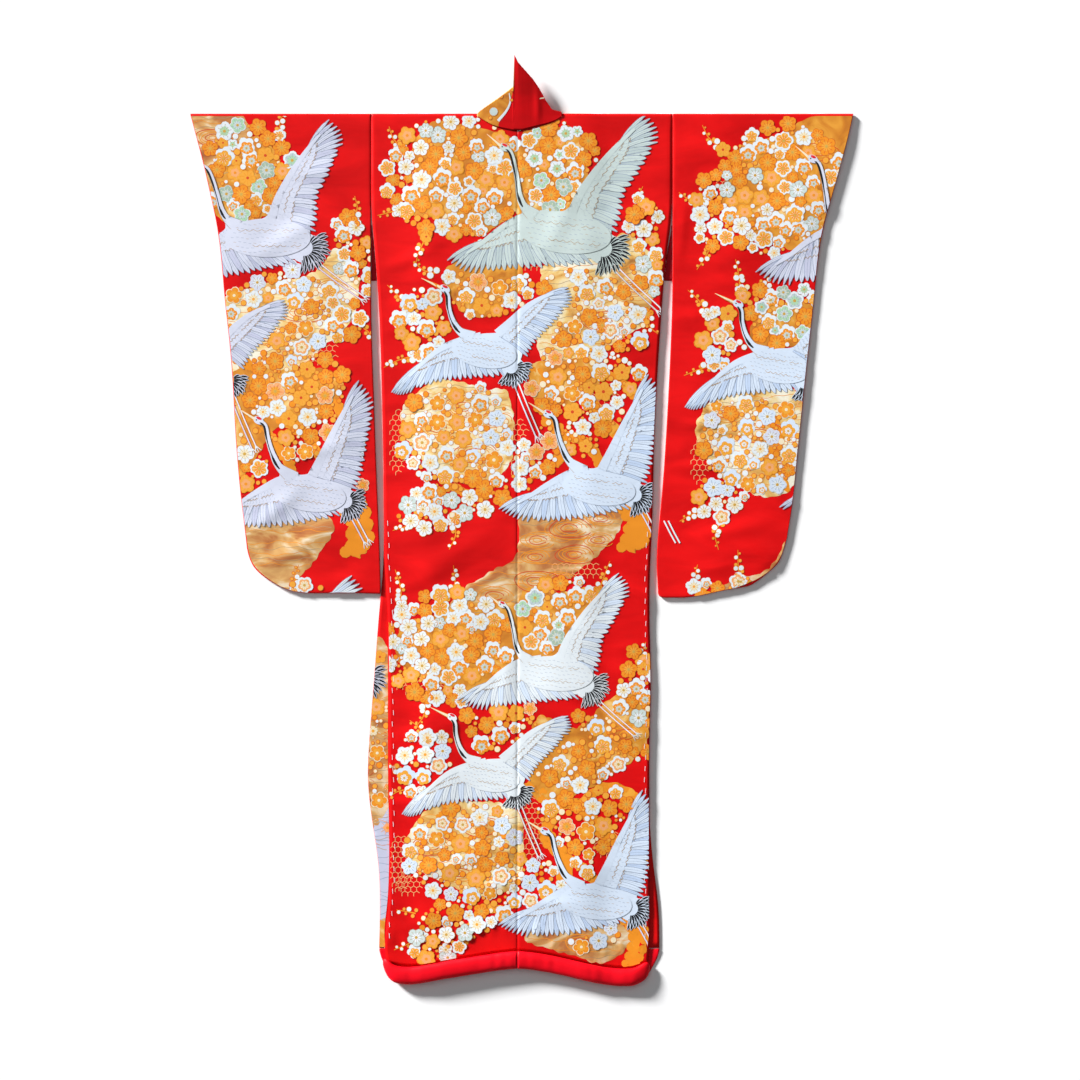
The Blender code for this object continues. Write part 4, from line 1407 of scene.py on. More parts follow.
# Each pose is drawn in centimetres about the bird's middle, y up, the beak to the upper left.
POSES = {
    "high": {
        "mass": ((-9, 5.8), (-6.5, 5.1), (-3, 4.9), (0.4, 5.6), (3, 10.2), (7.4, 15.8),
            (11.8, 20.4), (14.6, 22.4), (15, 19.6), (14.2, 16.6), (13.2, 13.6), (11.8, 10.9),
            (10.4, 8.2), (9.8, 5.6), (9.5, 2.6), (9.2, -0.6), (8.5, -3.2), (6.2, -4.7), (2, -4.5),
            (-3, -4.5), (-8, -4.7), (-13, -4.7), (-17.5, -4.5), (-21, -4.4), (-18.8, -2.6),
            (-15, 0.5), (-11.2, 2.6), (-9.2, 3.9)),
        "neck": ((-13, 18.3), (-11.5, 17.3), (-10.6, 14.4), (-10, 11), (-9.6, 8.2), (-8.6, 5.9),
            (-6.4, 3.9)),
        "beak": (-16.3, 20.9),
        "body": (-0.2, 0.6, 9.6, 4.3, -7),
        "raised_arm": ((1.2, 4.6), (3.4, 9.4), (7.6, 15.2), (11.6, 19.6), (14.2, 22)),
        "raised_edge": ((10.6, 0.8), (11.6, 4.6), (12.2, 8.4), (14.6, 12.2), (16.6, 15.6),
            (18.2, 18.8), (18.2, 22), (16.2, 24.6)),
        "spread_arm": ((-3.4, 4.4), (-8.8, 3.8), (-13.2, 1.6), (-17.4, -1.6), (-20.4, -3.6)),
        "spread_edge": ((5.4, -6), (0, -6.3), (-5.4, -6.7), (-10.8, -7), (-15.8, -7.3),
            (-20.4, -6.9), (-24, -4.9)),
        "tail": (7.7, -2.6, 5.6, -37),
        "legs": ((8.8, -6), (13.4, -10.6), (18.6, -15.4)),
    },
    "level": {
        "mass": ((-4, 1.9), (-0.5, 2.5), (3, 2.9), (5, 5.2), (7.8, 8), (11.2, 10.1), (14.4, 10.9),
            (13.6, 7.6), (11.4, 4.6), (9.2, 1.8), (7.8, -0.6), (7, -3), (4.2, -4.9), (0, -5.2),
            (-4, -5.2), (-8, -5.4), (-12, -6), (-15, -7.2), (-16.6, -7.6), (-15.2, -5.6),
            (-12.8, -3), (-10.4, -1.1), (-7.4, 0.2), (-5, 1.2)),
        "neck": ((-8.8, 11.8), (-7.9, 10.4), (-7.7, 8), (-6.9, 5.2), (-5.4, 3), (-2.8, 1.5)),
        "beak": (-13.3, 13.9),
        "body": (-0.4, -1.2, 6.8, 3.4, -10),
        "raised_arm": ((2.4, 2.4), (5, 4.8), (8.2, 7.8), (11.4, 9.8), (14, 10.8)),
        "raised_edge": ((8.6, -2.2), (10, 0.4), (12, 2.6), (14.2, 4.8), (16, 7.2), (17.2, 9.6),
            (16.6, 11.8)),
        "spread_arm": ((-1, 1.8), (-5, 1), (-9, -0.5), (-12.6, -3.2), (-15.8, -6.4)),
        "spread_edge": ((4, -6.3), (-1, -6.7), (-5.6, -7.1), (-10, -7.6), (-14.2, -8.8),
            (-17.2, -9.6), (-19, -9.2)),
        "tail": (5.2, -4.4, 4.2, -58),
        "legs": ((5.8, -8), (7.8, -13), (10.2, -18.6)),
    },
    "steep": {
        "mass": ((-5.6, 4.2), (-3, 3.7), (0, 3.9), (1.8, 6.8), (4.4, 11.5), (7, 16.5), (9.2, 20.2),
            (10.4, 18), (10.8, 14.4), (10.3, 10.5), (9.7, 6.5), (9.1, 2.5), (8.5, -0.5), (7.2, -3),
            (4, -4.2), (0, -4.8), (-5, -5.3), (-10, -5.4), (-14, -4.9), (-17.4, -4), (-14.5, -2.1),
            (-11, -0.1), (-8, 1.6), (-6.2, 2.8)),
        "neck": ((-10.6, 14.9), (-9, 13.8), (-8.4, 11.2), (-7.5, 8.2), (-6, 5.2), (-3, 2.8)),
        "beak": (-14.4, 17.2),
        "body": (0.2, -0.4, 7.6, 3.6, -8),
        "raised_arm": ((0.8, 3.4), (2.8, 7.4), (5.2, 12.4), (7.6, 17), (9.2, 20)),
        "raised_edge": ((10.2, 0.6), (11.2, 4.2), (11.8, 8), (12.6, 12), (13.2, 16), (12.4, 19.6),
            (10.2, 22.6)),
        "spread_arm": ((-2, 3.2), (-6, 2.4), (-10, 0.4), (-13.6, -1.8), (-16.8, -3.6)),
        "spread_edge": ((6.4, -4.9), (1.4, -6), (-3.6, -6.9), (-8.6, -7.3), (-13, -7.2),
            (-17, -6.2), (-20, -4.6)),
        "tail": (7.6, -1.9, 4.4, -32),
        "legs": ((8.4, -4.6), (9.8, -7.2), (11.4, -10.2)),
    },
}
MASSES = {pose: filled(closed_curve(parts["mass"], 0.5), 1.0) for pose, parts in POSES.items()}
COATS = {
    "pearl": ("pearl_light", "pearl"), "ice": ("ice_light", "ice"),
    "lilac": ("lilac_light", "lilac"), "white": ("white", "ice_light"),
}
FLIGHT_LINE, COVERT_LINE = "slate", "tan"
CRANES = by_cloth(
    "pose x down turn scale coat",
    back=(
        ("high", 10, 25.2, 0, 1, "pearl"), ("level", -6.5, 47.9, 0, 1, "ice"),
        ("steep", 16.6, 76.8, 0, 1, "ice"), ("high", 7.9, 116, 2, 0.83, "white"),
        ("level", -5.5, 135.5, 0, 0.94, "white"), ("steep", 16, 162.3, 1, 0.98, "ice"),
    ),
    sleeve_left=(
        ("high", -51.3, 26.2, 7, 0.93, "lilac"), ("level", -65, 50.5, 0, 1, "lilac"),
        ("steep", -43.1, 78.1, 0, 1, "lilac"), ("high", -50.7, 120.3, 0, 1, "white"),
    ),
    sleeve_right=(
        ("high", 73.6, 27.6, 0, 1, "lilac"), ("level", 54, 51, 0, 1, "ice"),
        ("steep", 74.5, 76.4, 0, 1, "lilac"),
    ),
    front=(
        ("high", -39, 114, 0, 0.9, "lilac"),
    ),
)
FLOAT = 0.16                    # millimetres by which whole cranes are raised over the blossoms
# Heights of a crane's parts over the cloth, in millimetres, before the float is added.
LIFT = {
    "mass": 0.66, "leg_edge": 0.68, "leg": 0.71, "rump": 0.72, "wing": 0.74, "tail_edge": 0.76,
    "tail": 0.79, "body": 1.34, "neck_edge": 1.36, "neck": 1.40, "bill_edge": 1.44, "head": 1.46,
    "bill": 1.47, "marks": 1.48, "scallops": 1.49, "crown": 1.54, "eye": 1.56,
}
# Heights of a wing's parts over the wing itself, and from one feather or row to the next.
NEXT_FEATHER, FEATHER_FILL, FEATHER_LINE, COVERTS, NEXT_COVERTS, COVERT_MARKS, ARM = (
    0.15, 0.06, 0.12, 0.34, 0.12, 0.05, 0.56
)
COVERED = 0.93                  # share of the wing's length that has coverts


def along(curve, share):
    """A place at a share of the way along an evenly sampled curve."""
    place = min(max(share, 0.0), 1.0) * (len(curve) - 1)
    k = int(min(place, len(curve) - 2))
    return curve[k] + (curve[k + 1] - curve[k]) * (place - k)


def leaf(root, tip, width, bow, blunt):
    """A feather's path and widths: narrow at its root, full along, pointed at its tip."""
    root, tip = np.asarray(root, float), np.asarray(tip, float)
    run = tip - root
    side_ways = np.array((-run[1], run[0])) * bow
    shares = np.array((0.0, 0.12, 0.24, 0.36, 0.48, 0.6, 0.71, 0.81, 0.9, 0.96, 1.0))
    path = root + run * shares[:, None] + side_ways * (np.sin(math.pi * shares) * 0.5)[:, None]
    full = (0.5, 0.72, 0.86, 0.94, 1.0, 1.0, 1.0, 0.94, blunt, blunt * 0.6, 0.04)
    return path, width * np.array(full)


def flight_feathers(add, between, edge, coat, count, bow):
    """Long feathers side by side, pale with a slate edge and a middle line, spread at the tip."""
    light, shade = coat
    for k in range(count):
        share = k / (count - 1)
        root, far = between(share, 0.07), along(edge, share)
        finger = share > 0.70
        tip = root + (far - root) * (1.07 if finger else 1.0 - 0.035 * (k % 2))
        gap = np.linalg.norm(along(edge, share + 0.03) - along(edge, share - 0.03)) / 0.06
        width = max(0.62, gap / count * (0.76 if finger else 1.06))
        path, widths = leaf(root, tip, width, bow, 0.5 if finger else 0.66)
        height = LIFT["wing"] + NEXT_FEATHER * (k % 2) + 0.001 * k
        add(ribbon(path, widths + 0.15, 0.01), FLIGHT_LINE, height)
        add(ribbon(path, widths - 0.05, 0.03), light if k % 3 else shade, height + FEATHER_FILL)
        add(ribbon(path[2:-1], 0.05, 0.01), FLIGHT_LINE, height + FEATHER_LINE)


def coverts(add, between, light, layer, length, lobes):
    """One layer of short feathers over the flight feathers, with a scalloped edge and marks."""
    height = LIFT["wing"] + COVERTS + NEXT_COVERTS * layer
    lobe = math.pi * lobes
    scallops = np.array([
        between(share, length + 0.055 * abs(math.sin(lobe * share / COVERED)))
        for share in np.linspace(0.0, COVERED, 7 * lobes)
    ])
    inner = np.array([between(share, 0.02) for share in np.linspace(0.0, COVERED, 30)])
    area = anticlockwise(np.vstack((inner, scallops[::-1])))
    add(filled(area, 1.0, 0.03), light, height)
    for start in range(2 + 9 * layer, len(scallops) - 10, 35):
        edging = ribbon(scallops[start:start + 29], 0.10, 0.01)
        add(edging, COVERT_LINE, height + COVERT_MARKS)
    for k in range(3 * lobes):
        share, out = (k + 0.5) / (3 * lobes) * 0.9, length - 0.08 - 0.06 * (k % 3)
        mark = ribbon((between(share, out), between(share, out + 0.05)), 0.05, 0.01)
        add(mark, FLIGHT_LINE, height + COVERT_MARKS)


def wing(add, arm, edge, coat, count, bow):
    """Flight feathers from the arm to the trailing edge, then two layers of coverts over them."""
    arm, edge = curve_through(arm, 80), curve_through(edge, 80)

    def between(share, length):
        root = along(arm, share * (0.95 - 0.27 * share))
        return root + (along(edge, share) - root) * length

    flight_feathers(add, between, edge, coat, count, bow)
    for layer, (length, lobes) in enumerate(((0.39, count - 6), (0.20, count - 9))):
        coverts(add, between, coat[0], layer, length, lobes)
    arm = curve_through(arm[[0, 20, 40, 60, 79]], 24)
    add(ribbon(arm, np.linspace(2.0, 0.5, 24), 0.03), coat[0], LIFT["wing"] + ARM)


def legs(add, path, light):
    """Two legs side by side, each with three toes."""
    for k, off in enumerate((0.0, 0.8)):
        leg = curve_through(np.array(path) + (off, off * 0.7), 17)
        add(ribbon(leg, 0.40), "red_line", LIFT["leg_edge"])
        add(ribbon(leg, 0.26), "white" if k else light, LIFT["leg"])
        heading = leg[-1] - leg[-2]
        for fan in (-24, 4, 30):
            c, s = cos_sin(fan)
            toe = np.array((heading[0] * c - heading[1] * s, heading[0] * s + heading[1] * c))
            toe *= 1.5 / np.linalg.norm(toe)
            add(ribbon((leg[-1], leg[-1] + toe), (0.22, 0.1)), "white", LIFT["leg"])


def tail(add, x, y, size, aim, light):
    """Two fans of black feathers with pale edges."""
    rump = filled(oval(x, y, 0.60 * size, 0.60 * size, 0, 22), 1.2, 0.03)
    add(rump, light, LIFT["rump"])
    fans = ((21, 1.04, 0.56, 0.50), (17, 0.80, 0.48, 0.32))
    for layer, (number, length, width, inner) in enumerate(fans):
        for k in range(number):
            angle = math.radians(aim - 70 + 140 * (k + 0.5 * layer) / (number - 1))
            long = size * length * (1 - 0.20 * (k % 3 == 1) - 0.08 * (k % 2))
            root = (x + inner * size * math.cos(angle), y + inner * size * math.sin(angle))
            bend = angle + 0.10 * math.sin(2.1 * k)
            tip = (x + long * math.cos(bend), y + long * math.sin(bend))
            path, widths = (line[::2] for line in leaf(root, tip, width, 0.16, 0.42))
            up = 0.08 * layer
            add(ribbon(path, widths + 0.14, 0.01), light, LIFT["tail_edge"] + up + 0.003 * k)
            add(ribbon(path, widths * 0.74, 0.02), "black", LIFT["tail"] + up + 0.003 * k)


def body(add, bx, by, rx, ry, lean, light):
    """The plump body with rows of short marks and two scalloped lines."""
    add(filled(oval(bx, by, rx, ry, lean, 40), 1.2, 0.08), light, LIFT["body"])
    c, s = cos_sin(lean)

    def on_body(u, v):
        u, v = u * rx, v * ry
        return bx + u * c - v * s, by + u * s + v * c

    for band in range(-3, 4):
        for k in range(-7, 8):
            u, v = (k + 0.5 * (band % 2)) / 8.6, band / 4.2 + 0.05 * math.sin(5.0 * k)
            if u * u + v * v < 0.86:
                mark = ribbon((on_body(u - 0.03, v), on_body(u + 0.035, v - 0.02)), 0.06, 0.01)
                add(mark, FLIGHT_LINE if (k + band) % 4 else COVERT_LINE, LIFT["marks"])
    for v, first, last in ((0.44, -0.70, 0.62), (-0.36, -0.34, 0.78)):
        scallops = [
            on_body(u, v - 0.10 * abs(math.sin(math.pi * 7 * (u - first) / (last - first))))
            for u in np.linspace(first, last, 43)
        ]
        for part in (scallops[:30], scallops[33:]):
            add(ribbon(part, 0.09, 0.01), COVERT_LINE, LIFT["scallops"])


def head_and_neck(add, path, beak, light):
    """A long neck with a black stripe, and a small head with a red crown."""
    neck = curve_through(path, 24)
    widths = np.interp(np.linspace(0, 1, 24), (0, 0.12, 0.5, 0.8, 1), (1.0, 0.86, 0.96, 1.5, 3.0))
    add(ribbon(neck, widths + 0.14, 0.01), COVERT_LINE, LIFT["neck_edge"])
    add(ribbon(neck, widths, 0.03), light, LIFT["neck"])
    thick = np.interp(np.linspace(0, 1, 18), (0, 0.16, 0.34, 0.5, 0.72, 0.86, 1),
                      (0.26, 0.46, 0.42, 0.18, 0.2, 0.6, 0.26))
    add(ribbon(neck[2:20] - (0.24, 0.10), thick, 0.02), "black", LIFT["marks"])
    x, y = path[0]
    add(filled(oval(x + 0.3, y - 0.1, 1.15, 0.78, -28, 18), 0.6, 0.04), light, LIFT["head"])
    bill = ((x - 0.4, y + 0.1), ((x + beak[0]) / 2 - 0.1, (y + beak[1]) / 2), beak)
    add(ribbon(bill, (0.8, 0.54, 0.12), 0.01), "orange", LIFT["bill_edge"])
    add(ribbon(bill, (0.56, 0.32, 0.06), 0.02), "cream", LIFT["bill"])
    add(disc(oval(x + 0.4, y + 0.34, 0.62, 0.28, -24, 9)), "crown", LIFT["crown"])
    add(disc(oval(x - 0.14, y, 0.15, 0.15, 0, 7)), "black", LIFT["eye"])


def crane(figures, row):
    """One flying red-crowned crane."""
    pose, coat = POSES[row.pose], COATS[row.coat]
    light = coat[0]

    def add(shape, colour, level):
        figures.add(shape, colour, level + FLOAT, (row.x, row.down), row.turn, row.scale)

    legs(add, pose["legs"], light)
    add(MASSES[row.pose], light, LIFT["mass"])
    tail(add, *pose["tail"], light)
    wing(add, pose["raised_arm"], pose["raised_edge"], coat, 23, 0.10)
    wing(add, pose["spread_arm"], pose["spread_edge"], coat, 26, -0.10)
    body(add, *pose["body"], light)
    head_and_neck(add, pose["neck"], pose["beak"], light)


# ---------------------------------------------------------------- grounds

# Closed areas of gold or ochre weave, through listed places. Neighbours that overlap are on
# different layers.
GROUNDS = by_cloth(
    "layer colour places",
    back=(
        (0, "ochre", ((-21, 6), (-17, 2), (-8, 3), (-2, 5), (2, 7), (1, 17), (-4, 23), (-10, 25),
         (-15, 22), (-22, 20), (-21, 13))),
        (1, "ochre", ((1, 5), (6, 4), (11, 3), (14, 7), (14, 14), (11, 21), (4, 24), (0, 20))),
        (2, "ochre", ((-15, 33), (-8, 29), (-1, 29), (1, 33), (-1, 38), (-7, 42), (-12, 40))),
        (3, "foil", ((6, 31), (15, 29), (22, 25), (27, 29), (28, 36), (26, 43), (20, 47), (13, 50),
         (6, 52), (4, 45), (5, 37))),
        (4, "ochre", ((3, 52), (10, 51), (15, 50), (18, 53), (14, 58), (9, 60), (4, 60))),
        (5, "foil", ((-22, 59), (-16, 55), (-7, 57), (-2, 58), (-1, 68), (-3, 74), (-10, 76),
         (-17, 74), (-22, 68), (-24, 63))),
        (0, "brown", ((1, 81), (8, 82), (17, 79), (22, 81), (20, 87), (14, 93), (7, 98), (0, 102),
         (-8, 103), (-15, 104), (-12, 99), (-6, 95), (0, 91))),
        (1, "ochre", ((-23, 105), (-18, 104), (-10, 101), (-1, 101), (2, 106), (2, 115), (-6, 121),
         (-14, 118), (-21, 116), (-25, 111))),
        (2, "ochre", ((1, 99), (9, 99), (14, 98), (17, 101), (15, 107), (9, 111), (3, 112))),
        (3, "ochre", ((4, 125), (12, 127), (19, 121), (25, 118), (27, 126), (25, 132), (18, 137),
         (10, 141), (3, 140))),
        (4, "foil", ((-22, 148), (-17, 143), (-8, 142), (0, 144), (1, 152), (0, 159), (-7, 161),
         (-14, 159), (-20, 156), (-22, 153))),
        (5, "brown", ((2, 169), (8, 166), (16, 166), (22, 168), (23, 171), (18, 175), (10, 173),
         (3, 171))),
    ),
    sleeve_left=(
        (0, "brown", ((-70, 0), (-58, 0), (-55, 6), (-59, 12), (-62, 20), (-66, 22), (-67, 10))),
        (1, "ochre", ((-61, 8), (-54, 5), (-50, 8), (-49, 14), (-51, 20), (-56, 22), (-62, 21),
         (-63, 14))),
        (2, "foil", ((-50, 35), (-42, 33), (-37, 28), (-33, 34), (-34, 42), (-39, 47), (-47, 53),
         (-58, 54), (-61, 45), (-60, 38))),
        (3, "ochre", ((-59, 54), (-48, 53), (-40, 53), (-36, 56), (-42, 64), (-50, 65), (-56, 74),
         (-59, 72))),
        (4, "brown", ((-60, 80), (-50, 82), (-42, 82), (-38, 85), (-42, 92), (-49, 99), (-56, 99),
         (-60, 90))),
    ),
    sleeve_right=(
        (5, "ochre", ((47, 6), (54, 5), (60, 1), (68, 0), (69, 8), (66, 18), (63, 27), (57, 28),
         (50, 25), (44, 22), (42, 17), (45, 12))),
        (0, "ochre", ((50, 41), (56, 39), (61, 40), (61, 46), (55, 48), (50, 48), (48, 46))),
        (1, "foil", ((38, 62), (42, 58), (52, 57), (58, 58), (59, 66), (57, 76), (52, 79), (44, 76),
         (40, 72), (37, 67))),
        (2, "brown", ((42, 98), (46, 96), (52, 94), (56, 88), (60, 90), (52, 99), (44, 101))),
    ),
    front=(
        (3, "brown", ((-32, 110), (-27, 110), (-26, 124), (-26, 150), (-32, 150), (-33, 130))), (4,
        "lilac", ((-31, 150), (-29, 146), (-26, 144), (-25, 166), (-28, 167), (-31, 160))), (5,
        "ochre", ((-31, 168), (-26, 167), (-26, 176), (-31, 176))),
    ),
)
# The heights of the other woven figures over the cloth, in millimetres.
OCHRE, OTHER_GROUND, NEXT_GROUND = 0.22, 0.16, 0.008
NET, BRANCH_EDGE, BRANCH, KNOB, FLOW, EDDY = 0.24, 0.24, 0.27, 0.30, 0.32, 0.36
BLOSSOM, NEXT_BLOSSOM, BUD, STITCH = 0.32, 0.055, 0.54, 1.0

# Eddies of flowing water on the foil: the middle of each, its half width and number of rings.
EDDIES = by_cloth(
    "x down size rings",
    back=(
        (10.5, 85.5, 5.2, 6), (17, 83.5, 3, 4), (4, 88, 3.6, 4), (11.5, 91, 4, 5),
        (3.5, 96.5, 4.6, 5), (-5, 99.5, 3.8, 4), (16.5, 88, 3, 4), (8.5, 96, 3, 4),
        (3.5, 91.5, 3, 4), (-11, 60.5, 4.8, 5), (-16.5, 65, 3.6, 4), (-5, 63.5, 3.6, 4),
        (-9, 70, 4.6, 5), (17.5, 43, 4.6, 5), (24, 36, 3.4, 4), (-18, 151, 4.4, 5),
        (-8, 147, 4.2, 5), (-12, 156.5, 3.6, 4), (13, 171, 3.6, 4), (22, 128, 4.2, 4),
        (-6, 12, 3.4, 4),
    ),
    sleeve_left=(
        (-63, 5, 3.8, 5), (-44.5, 41, 4.4, 5), (-38.5, 36, 3.2, 4), (-52, 46, 3.8, 4),
    ),
    sleeve_right=(
        (43, 62, 3.6, 4), (50, 66, 4.6, 5), (54.5, 73, 3.6, 4), (62, 8, 3.8, 5),
    ),
)


def eddy(figures, row, rng):
    """Rings of water lines, wider than high, drawn out to one side."""
    for k in range(row.rings):
        share = (k + 1) / row.rings
        rx, ry = row.size * share, row.size * 0.48 * share
        sweep = np.linspace(0, 2 * math.pi * (0.93 if k else 1.1), 20 + 3 * k)
        wobble = 1 + 0.06 * np.sin(3 * sweep + rng.uniform(0, 6))
        line = np.column_stack((row.x + row.size * 0.10 * share + rx * wobble * np.cos(sweep),
                                -row.down + ry * wobble * np.sin(sweep)))
        figures.add(ribbon(line, 0.15), "red_line" if k % 3 == 1 else "orange", EDDY)


# The two colours of the water lines, for the grounds that have them.
FLOW_COLOURS = {
    "foil": ("orange", "tan"), "brown": ("orange", "tan"), "lilac": ("slate", "slate"),
}


def flow_lines(figures, outline, colours, gap):
    """Wavy lines of running water over a ground, from its left edge to its right."""
    low, high = outline.min(0), outline.max(0)
    for row, y in enumerate(np.arange(low[1], high[1], gap)):
        xs = np.arange(low[0], high[0], 0.55)
        ys = y + 0.30 * np.sin(xs * 0.62 + row * 1.3) + 0.16 * np.sin(xs * 1.7 + row)
        line = np.column_stack((xs, ys))
        inside = inside_line(line, outline)
        start = None
        for k, within in enumerate([*inside, False]):
            if within and start is None:
                start = k
            elif not within and start is not None:
                if k - start > 5 and (row + start) % 3:
                    figures.add(ribbon(line[start:k], 0.10), colours[row % 2], FLOW)
                start = None


# Ragged bands of orange weave, like old branches: their width and run.
BRANCHES = by_cloth(
    "width run",
    back=(
        (2.4, ((4, 52), (7, 57), (6, 62), (9, 67), (8, 73))),
        (2, ((7, 57), (13, 58), (18, 63), (22, 69), (19, 74))),
        (1.8, ((12, 58), (15, 54), (21, 55), (26, 60))),
        (1.7, ((9, 66), (14, 68), (17, 73), (13, 78))),
        (4.2, ((22.5, 79.5), (24, 82), (24.5, 87), (22.5, 90))),
        (2.4, ((2, 138), (7, 143), (6, 149), (10, 154), (9, 160))),
        (2, ((7, 142), (13, 143), (17, 148), (22, 152), (21, 158))),
        (1.8, ((12, 143), (18, 139), (24, 141), (27, 146))),
        (1.7, ((10, 153), (14, 156), (17, 161), (14, 166))),
        (3, ((23, 166), (25, 169), (24.5, 173), (23, 176))),
        (1.6, ((-17, 80), (-14, 77), (-9, 79), (-5, 78))),
        (1.6, ((-12, 173), (-10, 168), (-6, 164), (-2, 165))),
        (1.8, ((-16, 144), (-13, 150), (-8, 154), (-9, 160))),
        (1.6, ((6, 12), (10, 16), (9, 21), (5, 24))),
    ),
    sleeve_left=(
        (2.2, ((-58, 50), (-52, 56), (-50, 62), (-44, 66), (-40, 72))),
        (1.8, ((-52, 56), (-45, 55), (-39, 58), (-35, 64))),
        (4, ((-35, 80), (-33, 83), (-32.5, 88), (-34.5, 91))),
        (1.8, ((-56, 62), (-50, 68), (-46, 74))),
    ),
    sleeve_right=(
        (1.8, ((50, 60), (54, 66), (52, 72), (56, 78))),
    ),
)


def branch(figures, row, rng):
    """A knobbly band with a lighter edge, thick and thin along its run."""
    count = len(row.run)
    line = curve_through([(x, -down) for x, down in row.run], 12 * count)
    places = np.linspace(0, 1, len(line))
    knobs = 1 + 0.34 * np.sin(places * count * 5.1 + rng.uniform(0, 6)) * np.sin(places * 23)
    ends = np.minimum(1.0, np.minimum(places, 1 - places) * 9 + 0.35)
    widths = row.width * knobs * ends
    figures.add(ribbon(line, widths + 0.22), "amber", BRANCH_EDGE)
    figures.add(ribbon(line, widths, 0.04), "orange", BRANCH)
    for k in range(2, len(line) - 2, 4):
        off = row.width * 0.42 * (1 if (k // 4) % 2 else -1)
        size = row.width * rng.uniform(0.26, 0.4)
        knob = disc(oval(line[k][0] + off, line[k][1] + 0.2 * off, size, size, 0, 9))
        figures.add(knob, "orange", KNOB)


# Net of fine gold lines on red, of hexagons: middle, half width, half height.
NETS = by_cloth(
    "x down wide high",
    back=(
        (6, 9.5, 2.4, 5), (-21, 12.5, 2.6, 2.6), (-24.5, 68, 2.2, 7), (3.4, 30, 3, 2.6),
        (18, 58.5, 3, 2.4), (-20, 117.5, 6, 2.4), (6.6, 102, 2.6, 3.4), (-24, 155, 2.6, 6),
        (-22, 159, 3, 2.4), (3, 148, 2.4, 7), (12, 94.5, 6, 1.6), (0.6, 70, 1.8, 7),
        (19, 151, 3, 2.6),
    ),
    sleeve_left=(
        (-59, 13, 3.2, 4), (-43, 49.5, 6, 2.6), (-52, 30.5, 4, 1.6),
    ),
    sleeve_right=(
        (43.5, 13.5, 2.8, 3), (52, 20, 3, 2), (37.6, 72, 2, 5), (59, 59, 2, 3),
    ),
)


def net(figures, row):
    """Hexagons in rows, each drawn by three of its sides so that no line is doubled."""
    size = 0.70
    rows, columns = int(row.high / (1.5 * size)), int(row.wide / (1.73 * size))
    for r in range(-rows, rows + 1):
        for k in range(-columns, columns + 1):
            x = row.x + (k + 0.5 * (r % 2)) * 1.732 * size
            y = -row.down + r * 1.5 * size
            if ((x - row.x) / row.wide) ** 2 + ((y + row.down) / row.high) ** 2 > 1:
                continue
            turns = [cos_sin(degrees) for degrees in (30, 90, 150, 210)]
            corners = [(x + size * c, y + size * s) for c, s in turns]
            for start, end in zip(corners, corners[1:]):
                figures.add(ribbon((start, end), 0.13), "peach", NET)


# Where blossoms crowd: an oval of the cloth, the most of them, and how they are mixed.
CROWDS = by_cloth(
    "x down wide high turn number mix",
    back=(
        (-13, 13, 14.5, 12.5, 0, 90, "warm"), (8.5, 13, 8.5, 11.5, 0, 50, "green"),
        (26, 22, 3.4, 5.5, 0, 12, "warm"), (25, 33, 4, 9, 0, 24, "warm"),
        (16, 40, 12, 11, 20, 90, "foil"), (-6, 35.5, 9, 6.5, 0, 46, "orange"),
        (-20, 43, 5, 7, 0, 18, "white"), (15, 57, 12.5, 10, 20, 80, "orange"),
        (25.5, 78, 3, 7, 0, 8, "orange"), (10, 66, 7, 9, 0, 26, "orange"),
        (-13, 66, 11.5, 11, 0, 80, "foil"), (3.5, 74, 5, 7, 0, 18, "white"),
        (-13, 80, 12, 4.6, -16, 32, "warm"), (-14, 110, 13.5, 11.5, 0, 90, "warm"),
        (9, 105, 9.2, 9.5, 0, 50, "green"), (25, 122, 4.4, 11.5, 0, 34, "warm"),
        (13, 131, 11.5, 8, -12, 60, "foil"), (-3.5, 126, 7.5, 6, 0, 26, "orange"),
        (-18.5, 134, 6.5, 7, 0, 24, "white"), (15, 149, 12.5, 10.5, 20, 80, "orange"),
        (-11, 152, 12, 10.5, 0, 86, "foil"), (3.5, 159, 6, 7, 0, 24, "white"),
        (-14.5, 168, 8.5, 5.5, -38, 26, "warm"), (-6, 163.5, 6, 5, 0, 20, "orange"),
        (13, 169, 8, 3, 0, 12, "foil"),
    ),
    sleeve_left=(
        (-55.5, 13, 9.5, 11.5, 0, 60, "green"), (-35, 34, 5, 13, 0, 44, "warm"),
        (-49, 42, 12, 9.5, -20, 80, "foil"), (-46, 60, 13.5, 11.5, 10, 90, "orange"),
        (-56, 73, 4.5, 8, 0, 22, "warm"), (-33.5, 73, 2.4, 5, 0, 8, "orange"),
        (-44, 99, 6, 2.2, 0, 8, "white"),
    ),
    sleeve_right=(
        (55, 16, 13.5, 14, 20, 110, "warm"), (40.5, 20, 4.5, 8, 0, 20, "warm"),
        (53, 42, 10, 8, 0, 50, "green"), (42.5, 46, 4.5, 6, 0, 16, "white"),
        (48.5, 67.5, 10.5, 10.5, 0, 80, "foil"), (42, 79, 5.5, 4.5, 0, 14, "white"),
        (39.5, 99, 4, 2.4, 0, 8, "warm"), (47, 98, 3.5, 2.4, 0, 7, "white"),
    ),
    front=(
        (-28.5, 128, 3, 16, 0, 26, "orange"), (-28, 143, 3, 5, 0, 6, "warm"),
    ),
)
